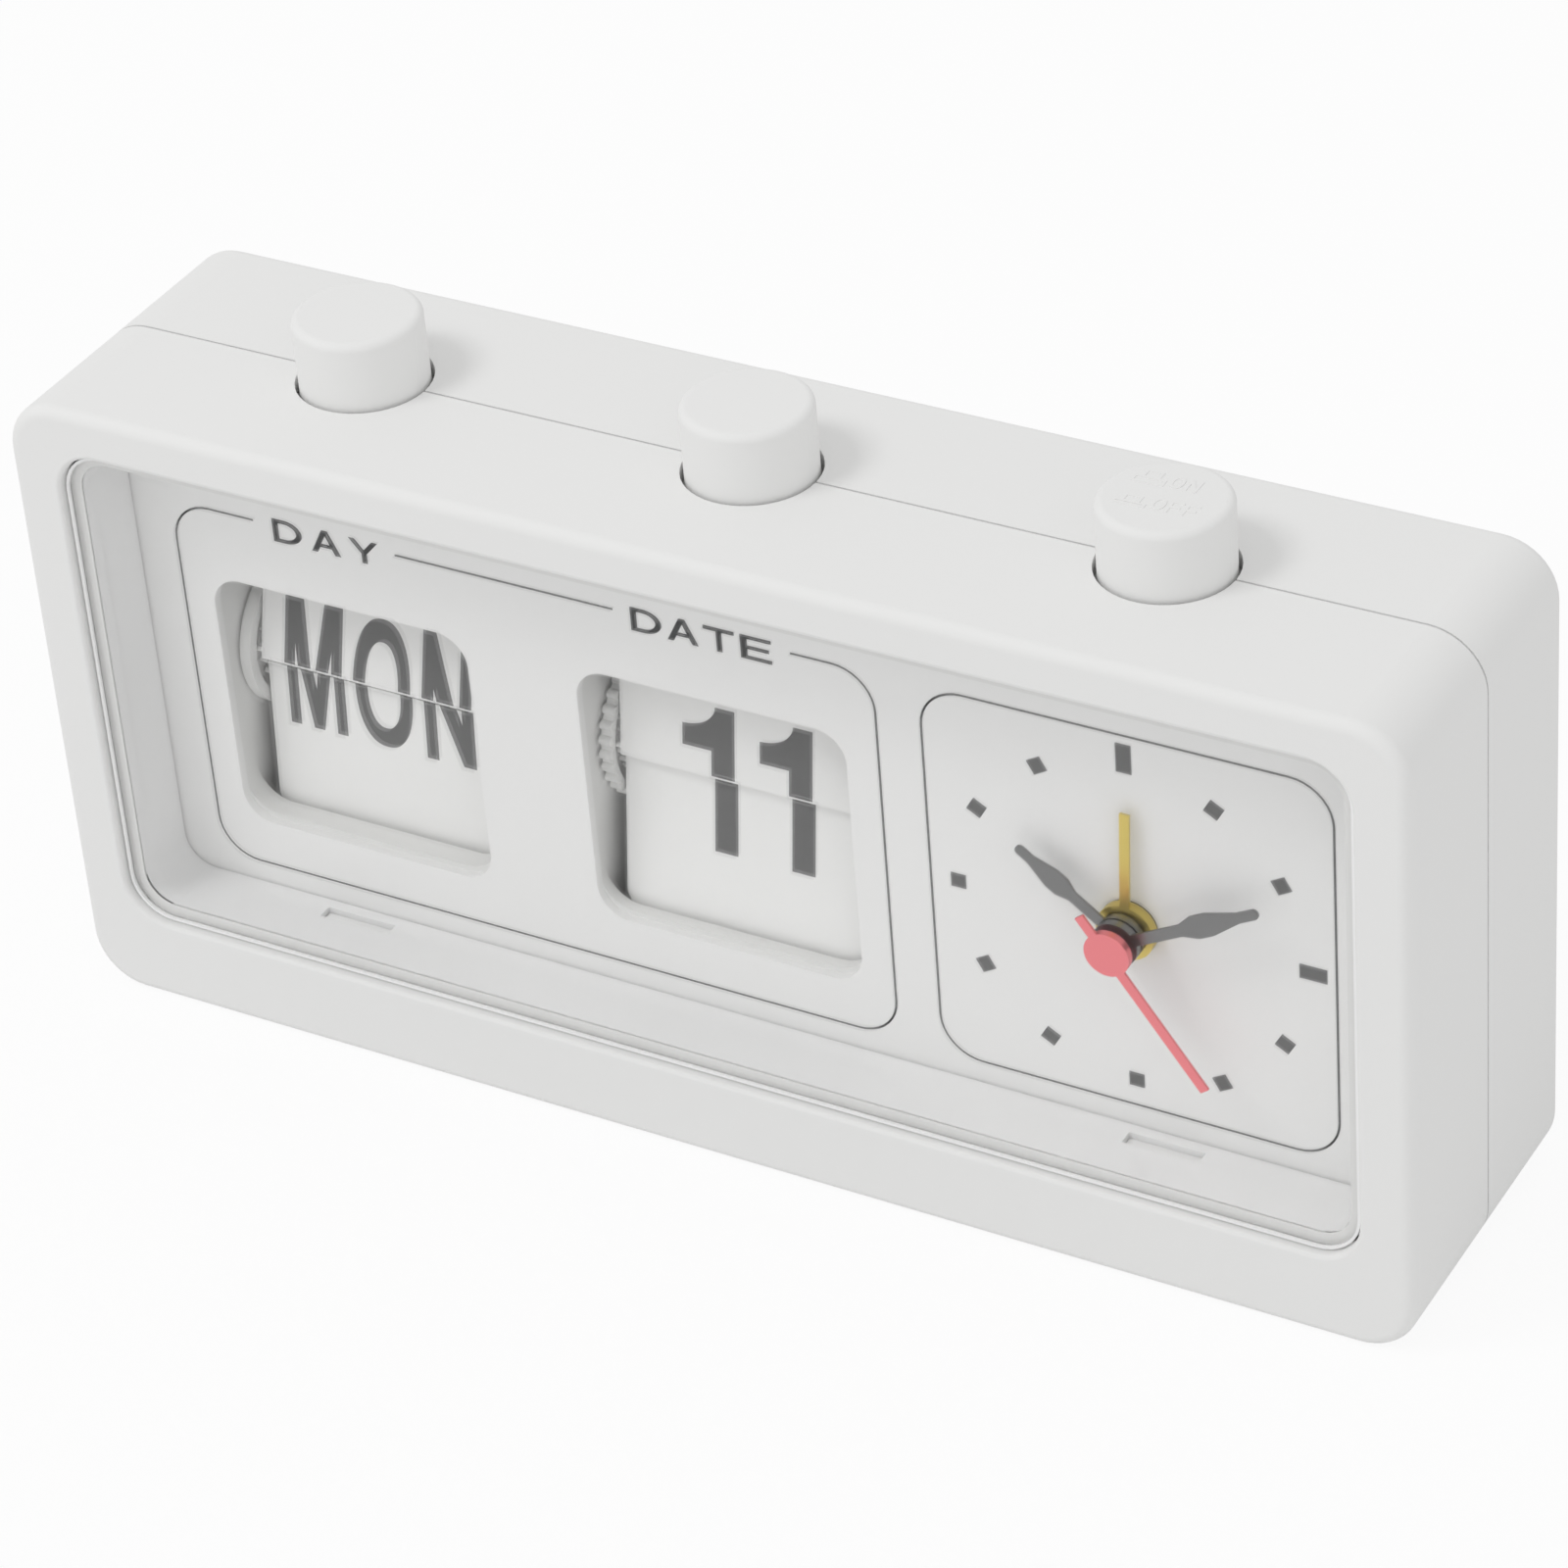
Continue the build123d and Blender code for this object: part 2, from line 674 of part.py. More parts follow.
def drum_disc(name, x, groove_side, tooth_count):
    """Drum disc that carries the leaf ears in a ring groove, with star teeth where a count is given."""
    groove_inner = leaf_pivot_radius - ear_radius - groove_gap
    groove_outer = flip_pivot_radius + ear_radius + groove_gap
    groove_depth = ear_depth + groove_gap
    groove_x = x if groove_side < 0 else x + disc_thickness - groove_depth
    with BuildPart() as disc:
        with BuildSketch(across(x)):
            with Locations((drum_y, drum_z)):
                if tooth_count:
                    Circle(star_root_radius)
                    with PolarLocations(star_root_radius, tooth_count, start_angle=180):
                        Circle(star_tooth_radius)
                else:
                    Circle(star_radius)
                Circle(axle_radius + press_gap, mode=Mode.SUBTRACT)
        extrude(amount=disc_thickness)
        with BuildSketch(across(groove_x)):
            with Locations((drum_y, drum_z)):
                Circle(groove_outer)
                Circle(groove_inner, mode=Mode.SUBTRACT)
        extrude(amount=groove_depth, mode=Mode.SUBTRACT)
    write(disc, name)


def leaf_unit(name, centre_x, count, front_angle, hang_angle, left_teeth, press_x):
    """One flip unit: frame, drum, leaves, index parts and the rod that the button pushes."""
    pitch = 360 / count
    turns = [(place + 1 / 2) * pitch for place in range(count)]
    hang_reach = leaf_length * sin(radians(hang_angle)) + leaf_thickness
    sill_back_y = drum_y - leaf_pivot_radius - hang_reach - swing_gap
    with BuildPart() as frame:
        with BuildSketch(across(centre_x - cheek_outer), across(centre_x + cheek_inner)):
            with Locations(((dial_back_y + low_wall_back_y) / 2, (trough_bottom_z + low_wall_top_z) / 2)):
                Rectangle(low_wall_back_y - dial_back_y, low_wall_top_z - trough_bottom_z)
            with Locations(((dial_back_y + rest_back_y) / 2, (low_wall_top_z + cheek_top_z) / 2)):
                Rectangle(rest_back_y - dial_back_y, cheek_top_z - low_wall_top_z)
            with Locations((drum_y, drum_z)):
                Circle(axle_radius + run_gap, mode=Mode.SUBTRACT)
        extrude(amount=cheek_thickness)
        with BuildSketch(across(centre_x)):
            with Locations(((dial_back_y + low_wall_back_y) / 2, trough_bottom_z + trough_floor / 2)):
                Rectangle(low_wall_back_y - dial_back_y, trough_floor)
            low_wall_y = low_wall_back_y - low_wall_thickness / 2
            with Locations((low_wall_y, (trough_bottom_z + low_wall_top_z) / 2)):
                Rectangle(low_wall_thickness, low_wall_top_z - trough_bottom_z)
            with Locations((rest_back_y - rest_bar_depth / 2, rest_bar_top_z - rest_bar_height / 2)):
                Rectangle(rest_bar_depth, rest_bar_height)
            with Locations((dial_back_y + flange_thickness / 2, (flange_bottom_z + trough_bottom_z) / 2)):
                Rectangle(flange_thickness, trough_bottom_z - flange_bottom_z)
        extrude(amount=cheek_outer, both=True)
        with BuildSketch(facing(dial_back_y)):
            with Locations((centre_x, sill_top_z + (sill_round - sill_thickness) / 2)):
                Rectangle(2 * cheek_outer, sill_round + sill_thickness)
            with Locations((centre_x, sill_top_z + sill_round + overrun / 2)):
                RectangleRounded(2 * cheek_inner, 2 * sill_round + overrun, sill_round, mode=Mode.SUBTRACT)
        extrude(amount=dial_back_y - sill_back_y)
        with BuildSketch(facing(dial_back_y - overrun)):
            with Locations(*unit_screw_places):
                Circle(unit_screw_radius + slip_gap)
        extrude(amount=-(flange_thickness + 2 * overrun), mode=Mode.SUBTRACT)
    write(frame, f"{name}_frame")

    with BuildPart() as axle:
        with BuildSketch(across(centre_x)):
            with Locations((drum_y, drum_z)):
                Circle(axle_radius)
        extrude(amount=cheek_outer + axle_end, both=True)
    write(axle, f"{name}_drum_axle")

    drum_disc(f"{name}_drum_disc", centre_x - disc_outer, 1, left_teeth)
    drum_disc(f"{name}_star_wheel", centre_x + disc_inner, -1, count)

    standing = [turn for turn in turns[1:] if turn < 180 + pitch / 4]
    hanging = [turn for turn in turns if turn >= 180 + pitch / 4]
    planes = [
        leaf_plane(centre_x, leaf_pivot_radius, turn, front_angle + (back_angle - front_angle) * turn / 180)
        for turn in standing
    ]
    planes += [
        leaf_plane(centre_x, leaf_pivot_radius, turn, 180 + hang_angle * (turn / 180 - 1)) for turn in hanging
    ]
    with BuildPart() as pack:
        add_leaves(planes)
    write(pack, f"{name}_leaf_pack")
    with BuildPart() as flip_leaf:
        add_leaves([leaf_plane(centre_x, flip_pivot_radius, pitch / 2, front_angle)], flip_tail)
    write(flip_leaf, f"{name}_flip_leaf")

    wheel_x = centre_x + disc_inner + disc_thickness / 2
    nose_reach = star_radius + detent_gap + detent_nose_radius
    nose_z = drum_z - sqrt(nose_reach**2 - (low_wall_back_y - drum_y) ** 2)
    with BuildPart() as detent:
        with BuildSketch(across(wheel_x)):
            with Locations((low_wall_back_y + detent_thickness / 2, (detent_foot_z + nose_z) / 2)):
                Rectangle(detent_thickness, nose_z - detent_foot_z)
            with Locations((low_wall_back_y, nose_z)):
                Circle(detent_nose_radius)
        extrude(amount=detent_width / 2, both=True)
    write(detent, f"{name}_detent_spring")

    leg_front_y = drum_y - star_radius - pawl_gap
    leg_back_y = leg_front_y + leg_depth
    with BuildPart() as push_rod:
        with BuildSketch(Plane.XY.offset(arm_bottom_z)):
            with Locations((press_x, button_y)):
                Circle(rod_radius)
        extrude(amount=cap_roof_z - arm_bottom_z)
        with BuildSketch(Plane.XY.offset(arm_bottom_z)):
            with Locations((press_x, (leg_front_y + button_y) / 2)):
                Rectangle(arm_width, button_y - leg_front_y)
            with Locations(((press_x + wheel_x + leg_width / 2) / 2, (leg_front_y + leg_back_y) / 2)):
                Rectangle(wheel_x + leg_width / 2 - press_x, leg_depth)
        extrude(amount=arm_thickness)
        with BuildSketch(Plane.XY.offset(leg_bottom_z)):
            with Locations((wheel_x, (leg_front_y + leg_back_y) / 2)):
                Rectangle(leg_width, leg_depth)
        extrude(amount=arm_bottom_z - leg_bottom_z)
    write(push_rod, f"{name}_push_rod")

    half = radians(pitch / 2)
    tip_y = drum_y - nose_radius * cos(half)
    tip_z = drum_z + nose_radius * sin(half)
    pawl_bottom_z = tip_z - pawl_tail
    pawl_top_z = leg_bottom_z + pawl_overlap
    with BuildPart() as pawl:
        with BuildSketch(across(wheel_x)):
            with Locations((leg_front_y - pawl_thickness / 2, (pawl_bottom_z + pawl_top_z) / 2)):
                Rectangle(pawl_thickness, pawl_top_z - pawl_bottom_z)
            with Locations(((leg_front_y + tip_y) / 2, tip_z)):
                Rectangle(tip_y - leg_front_y, nose_height)
        extrude(amount=pawl_width / 2, both=True)
    write(pawl, f"{name}_pawl")


leaf_unit("day", day_x, day_leaf_count, day_front_angle, day_hang_angle, 0, button_places["day"])
leaf_unit(
    "date",
    date_x,
    date_leaf_count,
    date_front_angle,
    date_hang_angle,
    date_leaf_count,
    button_places["date"],
)

# Button caps and return springs
for name, place in button_places.items():
    top_z = cap_top_z - alarm_mark_height if name == "alarm" else cap_top_z
    with BuildPart() as cap:
        with BuildSketch(Plane.XY.offset(cap_bottom_z)):
            with Locations((place, button_y)):
                Circle(button_radius)
        extrude(amount=top_z - cap_bottom_z)
        fillet(cap.faces().sort_by(Axis.Z)[-1].edges(), button_edge)
        with BuildSketch(Plane.XY.offset(cap_bottom_z)):
            with Locations((place, button_y)):
                Circle(button_radius + button_flange_width)
                Rectangle(2 * (button_radius + button_flange_width), 2 * button_radius, mode=Mode.INTERSECT)
        extrude(amount=button_flange_height)
        with BuildSketch(Plane.XY.offset(cap_bottom_z - overrun)):
            with Locations((place, button_y)):
                Circle(button_radius - button_wall)
        extrude(amount=cap_roof_z - cap_bottom_z + overrun, mode=Mode.SUBTRACT)
        with BuildSketch(Plane.XY.offset(cap_roof_z)):
            with Locations((place, button_y)):
                Circle(rod_radius + button_boss_wall)
                Circle(rod_radius + press_gap, mode=Mode.SUBTRACT)
        extrude(amount=-button_boss_length)
    write(cap, f"{name}_button")

    spring_height = cap_roof_z - shelf_top_z - 2 * spring_wire
    with BuildPart() as spring:
        with BuildLine() as winding:
            Helix(
                pitch=spring_height / spring_turns,
                height=spring_height,
                radius=spring_radius,
                center=(place, button_y, shelf_top_z + spring_wire),
            )
        with BuildSketch(Plane(origin=winding.line @ 0, z_dir=winding.line % 0)):
            Circle(spring_wire)
        sweep()
    write(spring, f"{name}_return_spring")

# Alarm rod and its latching switch under the shelf
alarm_rod_bottom_z = shelf_bottom_z - switch_rod_depth
with BuildPart() as alarm_rod:
    with BuildSketch(Plane.XY.offset(alarm_rod_bottom_z)):
        with Locations((button_x, button_y)):
            Circle(rod_radius)
    extrude(amount=cap_roof_z - alarm_rod_bottom_z)
write(alarm_rod, "alarm_push_rod")
with BuildPart() as alarm_switch:
    with BuildSketch(Plane.XY.offset(shelf_bottom_z)):
        with Locations((button_x, button_y)):
            Rectangle(switch_width, switch_depth)
    extrude(amount=-switch_height)
    with BuildSketch(Plane.XY.offset(shelf_bottom_z + overrun)):
        with Locations((button_x, button_y)):
            Circle(rod_radius + slip_gap)
    extrude(amount=-(switch_height - switch_floor + overrun), mode=Mode.SUBTRACT)
write(alarm_switch, "alarm_switch")

# Movement case: a cup behind the dial plate, with the bush that the pipes come through
movement_inner_y = dial_back_y + movement_wall
with BuildPart() as movement_case:
    with BuildSketch(facing(dial_back_y, clock_x, clock_z)):
        RectangleRounded(movement_width, movement_height, movement_corner)
    extrude(amount=-movement_depth)
    with BuildSketch(facing(movement_inner_y, clock_x, clock_z)):
        Rectangle(movement_width - 2 * movement_wall, movement_height - 2 * movement_wall)
    extrude(amount=-movement_depth, mode=Mode.SUBTRACT)
    with BuildSketch(facing(dial_front_y + bush_set_in, clock_x, clock_z)):
        Circle(bush_radius)
    extrude(amount=-(movement_inner_y - dial_front_y - bush_set_in))
    with BuildSketch(facing(dial_front_y - overrun, clock_x, clock_z)):
        Circle(alarm_pipe_radius + run_gap)
    extrude(amount=-(movement_inner_y - dial_front_y + 2 * overrun), mode=Mode.SUBTRACT)
write(movement_case, "movement_case")

# Places of the train, seen from the front, about the middle of the dial
third_distance = small_pinion_radius + third_wheel_radius + mesh_gap
idler_distance = small_pinion_radius + second_wheel_radius + mesh_gap
rotor_distance = rotor_pinion_radius + idler_wheel_radius + mesh_gap
hour_wheel_radius = motion_distance - motion_pinion_radius - mesh_gap
centre_place = (clock_x, clock_z)
third_place = (clock_x, clock_z - third_distance)
motion_place = (time_knob_x, clock_z)
alarm_place = (alarm_knob_x, clock_z)
idler_place = (
    clock_x + idler_distance * cos(radians(idler_angle)),
    clock_z + idler_distance * sin(radians(idler_angle)),
)
rotor_place = (
    idler_place[0] + rotor_distance * cos(radians(rotor_angle)),
    idler_place[1] + rotor_distance * sin(radians(rotor_angle)),
)
alarm_wheel_y = movement_inner_y + mesh_gap
arbor_start_y = alarm_wheel_y + wheel_thickness + mesh_gap
hour_wheel_y = alarm_wheel_y + wheel_thickness + swing_gap
motion_wheel_y = hour_wheel_y + wheel_thickness + swing_gap
centre_wheel_y = motion_wheel_y + wheel_thickness + wheel_start_y
third_wheel_y = centre_wheel_y + wheel_step
second_wheel_y = third_wheel_y + wheel_step
idler_wheel_y = second_wheel_y + wheel_step


def round_bar(place, radius, start_y, end_y, mode=Mode.ADD):
    """Round bar along Y at a place on the dial."""
    with BuildSketch(facing(start_y, *place)) as outline:
        Circle(radius)
    extrude(outline.sketch, amount=-(end_y - start_y), mode=mode)


def through_hole(place, radius, start_y, end_y):
    """Running hole along Y that goes out past both ends."""
    round_bar(place, radius + run_gap, start_y - overrun, end_y + overrun, Mode.SUBTRACT)


def toothed_wheel(place, radius, start_y, width):
    """Fine-toothed wheel: a disc with round teeth that reach its outer radius."""
    root = radius - tooth_height
    count = int(root / tooth_height * 2)
    with BuildSketch(facing(start_y, *place)) as outline:
        Circle(root)
        with PolarLocations(root, count):
            Circle(tooth_height)
    extrude(outline.sketch, amount=-width)


# Movement cover with the bearing holes of the wheels and the ways out for the two setting shafts
bearings = [
    (centre_place, second_arbor_radius),
    (third_place, pivot_radius),
    (idler_place, pivot_radius),
    (rotor_place, pivot_radius),
    (motion_place, arbor_radius),
    (alarm_place, arbor_radius),
]
with BuildPart() as movement_cover:
    with BuildSketch(facing(movement_back_y, clock_x, clock_z)):
        RectangleRounded(movement_width, movement_height, movement_corner)
    extrude(amount=-cover_thickness)
    for place, radius in bearings:
        through_hole(place, radius, movement_back_y, cover_back_y)
write(movement_cover, "movement_cover")

# Alarm wheel, hour wheel, centre wheel and second wheel turn about the same line
alarm_hand_y = dial_front_y - alarm_hand_height
hour_hand_y = dial_front_y - hour_hand_height
minute_hand_y = dial_front_y - minute_hand_height
second_hand_y = dial_front_y - second_hand_height
with BuildPart() as alarm_wheel:
    toothed_wheel(centre_place, alarm_wheel_radius, alarm_wheel_y, wheel_thickness)
    round_bar(centre_place, alarm_pipe_radius, alarm_hand_y, alarm_wheel_y)
    through_hole(centre_place, hour_pipe_radius, alarm_hand_y, alarm_wheel_y)
write(alarm_wheel, "alarm_wheel")
with BuildPart() as hour_wheel:
    toothed_wheel(centre_place, hour_wheel_radius, hour_wheel_y, wheel_thickness)
    round_bar(centre_place, hour_pipe_radius, hour_hand_y, hour_wheel_y)
    through_hole(centre_place, minute_pipe_radius, hour_hand_y, hour_wheel_y)
write(hour_wheel, "hour_wheel")
with BuildPart() as centre_wheel:
    toothed_wheel(centre_place, third_wheel_radius, centre_wheel_y, wheel_thickness)
    cannon_length = wheel_thickness + 2 * mesh_gap
    toothed_wheel(centre_place, cannon_pinion_radius, motion_wheel_y - mesh_gap, cannon_length)
    round_bar(centre_place, minute_pipe_radius, minute_hand_y, centre_wheel_y)
    through_hole(centre_place, second_arbor_radius, minute_hand_y, centre_wheel_y)
write(centre_wheel, "centre_wheel")
with BuildPart() as second_wheel:
    toothed_wheel(centre_place, second_wheel_radius, second_wheel_y, wheel_thickness)
    toothed_wheel(centre_place, small_pinion_radius, third_wheel_y - mesh_gap, pinion_length)
    round_bar(centre_place, second_arbor_radius, second_hand_y, cover_back_y)
write(second_wheel, "second_wheel")

# Wheels on their own arbors
with BuildPart() as third_wheel:
    toothed_wheel(third_place, third_wheel_radius, third_wheel_y, wheel_thickness)
    toothed_wheel(third_place, small_pinion_radius, centre_wheel_y - mesh_gap, pinion_length)
    round_bar(third_place, pivot_radius, arbor_start_y, cover_back_y)
write(third_wheel, "third_wheel")
with BuildPart() as idler_wheel:
    toothed_wheel(idler_place, idler_wheel_radius, idler_wheel_y, wheel_thickness)
    toothed_wheel(idler_place, small_pinion_radius, second_wheel_y - mesh_gap, pinion_length)
    round_bar(idler_place, pivot_radius, arbor_start_y, cover_back_y)
write(idler_wheel, "idler_wheel")
rotor_y = centre_wheel_y
with BuildPart() as rotor:
    round_bar(rotor_place, rotor_radius, rotor_y, rotor_y + rotor_length)
    rotor_pinion_y = idler_wheel_y - mesh_gap
    round_bar(rotor_place, rotor_pinion_radius, rotor_pinion_y, rotor_pinion_y + pinion_length)
    round_bar(rotor_place, pivot_radius, movement_inner_y, cover_back_y)
write(rotor, "rotor")
with BuildPart() as motion_wheel:
    toothed_wheel(motion_place, motion_wheel_radius, motion_wheel_y, wheel_thickness)
    toothed_wheel(motion_place, motion_pinion_radius, hour_wheel_y - mesh_gap, pinion_length)
    round_bar(motion_place, arbor_radius, arbor_start_y, knob_back_y - knob_length / 2)
write(motion_wheel, "motion_wheel")
with BuildPart() as alarm_pinion:
    toothed_wheel(alarm_place, alarm_pinion_radius, alarm_wheel_y, pinion_length)
    round_bar(alarm_place, arbor_radius, movement_inner_y, knob_back_y - knob_length / 2)
write(alarm_pinion, "alarm_pinion")

# Setting knobs on the ends of those two arbors
for name, place in (("time_knob", motion_place), ("alarm_knob", alarm_place)):
    with BuildPart() as knob:
        with BuildSketch(facing(knob_front_y, *place)):
            Circle(knob_radius - knob_grip_radius)
            with PolarLocations(knob_radius - knob_grip_radius, knob_grip_count):
                Circle(knob_grip_radius)
        extrude(amount=-knob_length)
        bore_end_y = knob_back_y - knob_length / 2
        round_bar(place, arbor_radius + press_gap, knob_front_y - overrun, bore_end_y, Mode.SUBTRACT)
    write(knob, name)

# Stator and coil of the stepping motor
stator_y = rotor_y + (rotor_length - stator_thickness) / 2
coil_y = stator_y + stator_thickness / 2
coil_middle_z = clock_z + coil_z
with BuildPart() as stator:
    with BuildSketch(facing(stator_y)):
        with Locations((rotor_place[0] - stator_length / 2 + stator_width / 2, rotor_place[1])):
            Rectangle(stator_length, stator_width)
        with Locations((rotor_place[0] - stator_length + stator_width, (rotor_place[1] + coil_middle_z) / 2)):
            Rectangle(stator_width, coil_middle_z - rotor_place[1])
        with Locations(rotor_place):
            Circle(rotor_radius + rotor_gap, mode=Mode.SUBTRACT)
    extrude(amount=-stator_thickness)
    with BuildSketch(facing(movement_inner_y)):
        with Locations((rotor_place[0] - stator_length + stator_width, rotor_place[1])):
            Circle(stator_post_radius)
    extrude(amount=-(stator_y - movement_inner_y))
write(stator, "stator")
coil_start_x = rotor_place[0] - stator_length + stator_width + stator_width / 2
with BuildPart() as coil:
    with BuildSketch(across(coil_start_x)):
        with Locations((coil_y, coil_middle_z)):
            Circle(coil_flange_radius)
    extrude(amount=coil_flange_thickness)
    with BuildSketch(across(coil_start_x)):
        with Locations((coil_y, coil_middle_z)):
            Circle(coil_radius)
    extrude(amount=coil_length)
    with BuildSketch(across(coil_start_x + coil_length - coil_flange_thickness)):
        with Locations((coil_y, coil_middle_z)):
            Circle(coil_flange_radius)
    extrude(amount=coil_flange_thickness)
write(coil, "coil")

# Circuit board on the movement cover, with its crystal can
with BuildPart() as circuit_board:
    with BuildSketch(facing(movement_back_y - board_thickness, clock_x + board_x, clock_z - board_z)):
        Rectangle(board_width, board_height)
    extrude(amount=-board_thickness)
    with BuildSketch(across(clock_x + board_x)):
        with Locations((movement_back_y - board_thickness - crystal_radius / 2, clock_z - board_z)):
            Circle(crystal_radius)
    extrude(amount=crystal_length / 2, both=True)
write(circuit_board, "circuit_board")

# Buzzer on the inside of the back
with BuildPart() as buzzer:
    with BuildSketch(facing(inner_back_y - buzzer_height, clock_x, buzzer_z)):
        Circle(buzzer_radius)
    extrude(amount=-buzzer_height)
    with BuildSketch(facing(inner_back_y - buzzer_height / 2, clock_x, buzzer_z)):
        Circle(sound_ring_radius + sound_hole_radius)
    extrude(amount=-buzzer_height, mode=Mode.SUBTRACT)
write(buzzer, "buzzer")

# Cell with its nub up, between the plate contact and the spring contact
cell_bottom_z = cell_middle_z - (cell_length + cell_nub_length) / 2
bay_top_z = cell_middle_z + cell_bay_height / 2
bay_bottom_z = cell_middle_z - cell_bay_height / 2
with BuildPart() as cell:
    with BuildSketch(Plane.XY.offset(cell_bottom_z)):
        with Locations((cell_x, cell_y)):
            Circle(cell_radius)
    extrude(amount=cell_length)
    with BuildSketch(Plane.XY.offset(cell_bottom_z + cell_length)):
        with Locations((cell_x, cell_y)):
            Circle(cell_nub_radius)
    extrude(amount=cell_nub_length)
write(cell, "cell")
with BuildPart() as plate_contact:
    with BuildSketch(Plane.XY.offset(bay_top_z - contact_thickness)):
        with Locations((cell_x, cell_y)):
            Rectangle(contact_width, contact_width)
    extrude(amount=contact_thickness)
    with BuildSketch(Plane.XY.offset(cell_bottom_z + cell_length + cell_nub_length)):
        with Locations((cell_x, cell_y)):
            Circle(cell_nub_radius)
    extrude(amount=bay_top_z - cell_bottom_z - cell_length - cell_nub_length)
write(plate_contact, "plate_contact")
contact_height = cell_bottom_z - bay_bottom_z - 2 * contact_wire
with BuildPart() as spring_contact:
    with BuildLine() as contact_coil:
        Helix(
            pitch=contact_height / contact_turns,
            height=contact_height,
            radius=contact_radius,
            center=(cell_x, cell_y, bay_bottom_z + contact_wire),
        )
    with BuildSketch(Plane(origin=contact_coil.line @ 0, z_dir=contact_coil.line % 0)):
        Circle(contact_wire)
    sweep()
write(spring_contact, "spring_contact")

# Battery door with a round lower edge that turns on two pins
door_half = cell_bay_half - door_gap
door_top_z = bay_top_z - door_gap
with BuildPart() as battery_door:
    with BuildSketch(across(cell_x)):
        with Locations((door_pin_y, door_pin_z)):
            Circle(door_thickness / 2)
        with Locations((door_pin_y, (door_pin_z + door_top_z) / 2)):
            Rectangle(door_thickness, door_top_z - door_pin_z)
    extrude(amount=door_half, both=True)
    with BuildSketch(across(cell_x)):
        with Locations((door_pin_y, door_pin_z)):
            Circle(door_pin_radius)
    extrude(amount=door_half + door_pin_length, both=True)
    with BuildSketch(facing(back_y + overrun, cell_x, door_top_z - door_grip_drop)):
        with GridLocations(door_grip_width, door_grip_pitch, 1, door_grip_count):
            Rectangle(door_grip_width, door_grip_height)
    extrude(amount=overrun + door_grip_depth, mode=Mode.SUBTRACT)
write(battery_door, "battery_door")


def hand_plane(y, angle):
    """Plane of a hand: its own y points the way that the hand shows, clockwise from twelve."""
    turn = radians(angle)
    return Plane(origin=(clock_x, y, clock_z), x_dir=(cos(turn), 0, -sin(turn)), z_dir=(0, -1, 0))


def straight_hand(name, y, angle, length, tail, hub, bore, collar, closed=False):
    """Straight hand on a round hub with a collar behind it, bored through or closed over the arbor's end."""
    with BuildPart() as hand:
        with BuildSketch(hand_plane(y + hand_thickness, angle)):
            with Locations((0, (length - tail) / 2)):
                Rectangle(straight_hand_width, length + tail)
            Circle(hub)
            if not closed:
                Circle(bore + press_gap, mode=Mode.SUBTRACT)
        extrude(amount=hand_thickness)
        with BuildSketch(hand_plane(y + hand_thickness, angle)):
            Circle(hub)
            Circle(bore + press_gap, mode=Mode.SUBTRACT)
        extrude(amount=-collar)
    write(hand, name)


def blade_hand(name, y, angle, length, bore):
    """Hand with a slim neck, a full middle and a round tip, on a hub with a collar behind it."""
    with BuildPart() as hand:
        with BuildSketch(hand_plane(y + hand_thickness, angle)) as outline:
            with BuildLine():
                side = [
                    (blade_neck_width / 2, 0),
                    (blade_neck_width / 2, blade_neck_share * length),
                    (blade_full_width / 2, blade_full_start_share * length),
                    (blade_full_width / 2, blade_full_end_share * length),
                    (blade_tip_width / 2, blade_shoulder_share * length),
                    (blade_tip_width / 2, length - blade_tip_width / 2),
                ]
                Polyline(*side)
                ThreePointArc(side[-1], (0, length), (-blade_tip_width / 2, length - blade_tip_width / 2))
                Polyline(*[(-x, y) for x, y in reversed(side)])
                Line((-blade_neck_width / 2, 0), (blade_neck_width / 2, 0))
            make_face()
            bends = outline.vertices().group_by(Axis.Y)[1:5]
            fillet([vertex for pair in bends for vertex in pair], blade_round)
            Circle(hand_hub_radius)
            Circle(bore + press_gap, mode=Mode.SUBTRACT)
        extrude(amount=hand_thickness)
        with BuildSketch(hand_plane(y + hand_thickness, angle)):
            Circle(hand_hub_radius)
            Circle(bore + press_gap, mode=Mode.SUBTRACT)
        extrude(amount=-hand_collar)
    write(hand, name)


straight_hand(
    "alarm_hand",
    alarm_hand_y,
    alarm_hand_angle,
    alarm_hand_length,
    0,
    alarm_hub_radius,
    alarm_pipe_radius,
    alarm_hand_height - hand_thickness - alarm_collar_gap,
)
blade_hand("hour_hand", hour_hand_y, hour_hand_angle, hour_hand_length, hour_pipe_radius)
blade_hand("minute_hand", minute_hand_y, minute_hand_angle, minute_hand_length, minute_pipe_radius)
straight_hand(
    "second_hand",
    second_hand_y - hand_thickness,
    second_hand_angle,
    second_hand_length,
    second_tail_length,
    hand_hub_radius,
    second_arbor_radius,
    second_collar,
    closed=True,
)
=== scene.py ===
"""Looks of the flip-calendar desk alarm clock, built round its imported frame.

Sizes are written in millimetres, as in the part's source, and become metres where a mesh is made.
"""

import json
import logging
import math
from dataclasses import dataclass, field
from enum import Enum

import bmesh
import bpy
import numpy as np
from mathutils import Matrix, Quaternion, Vector


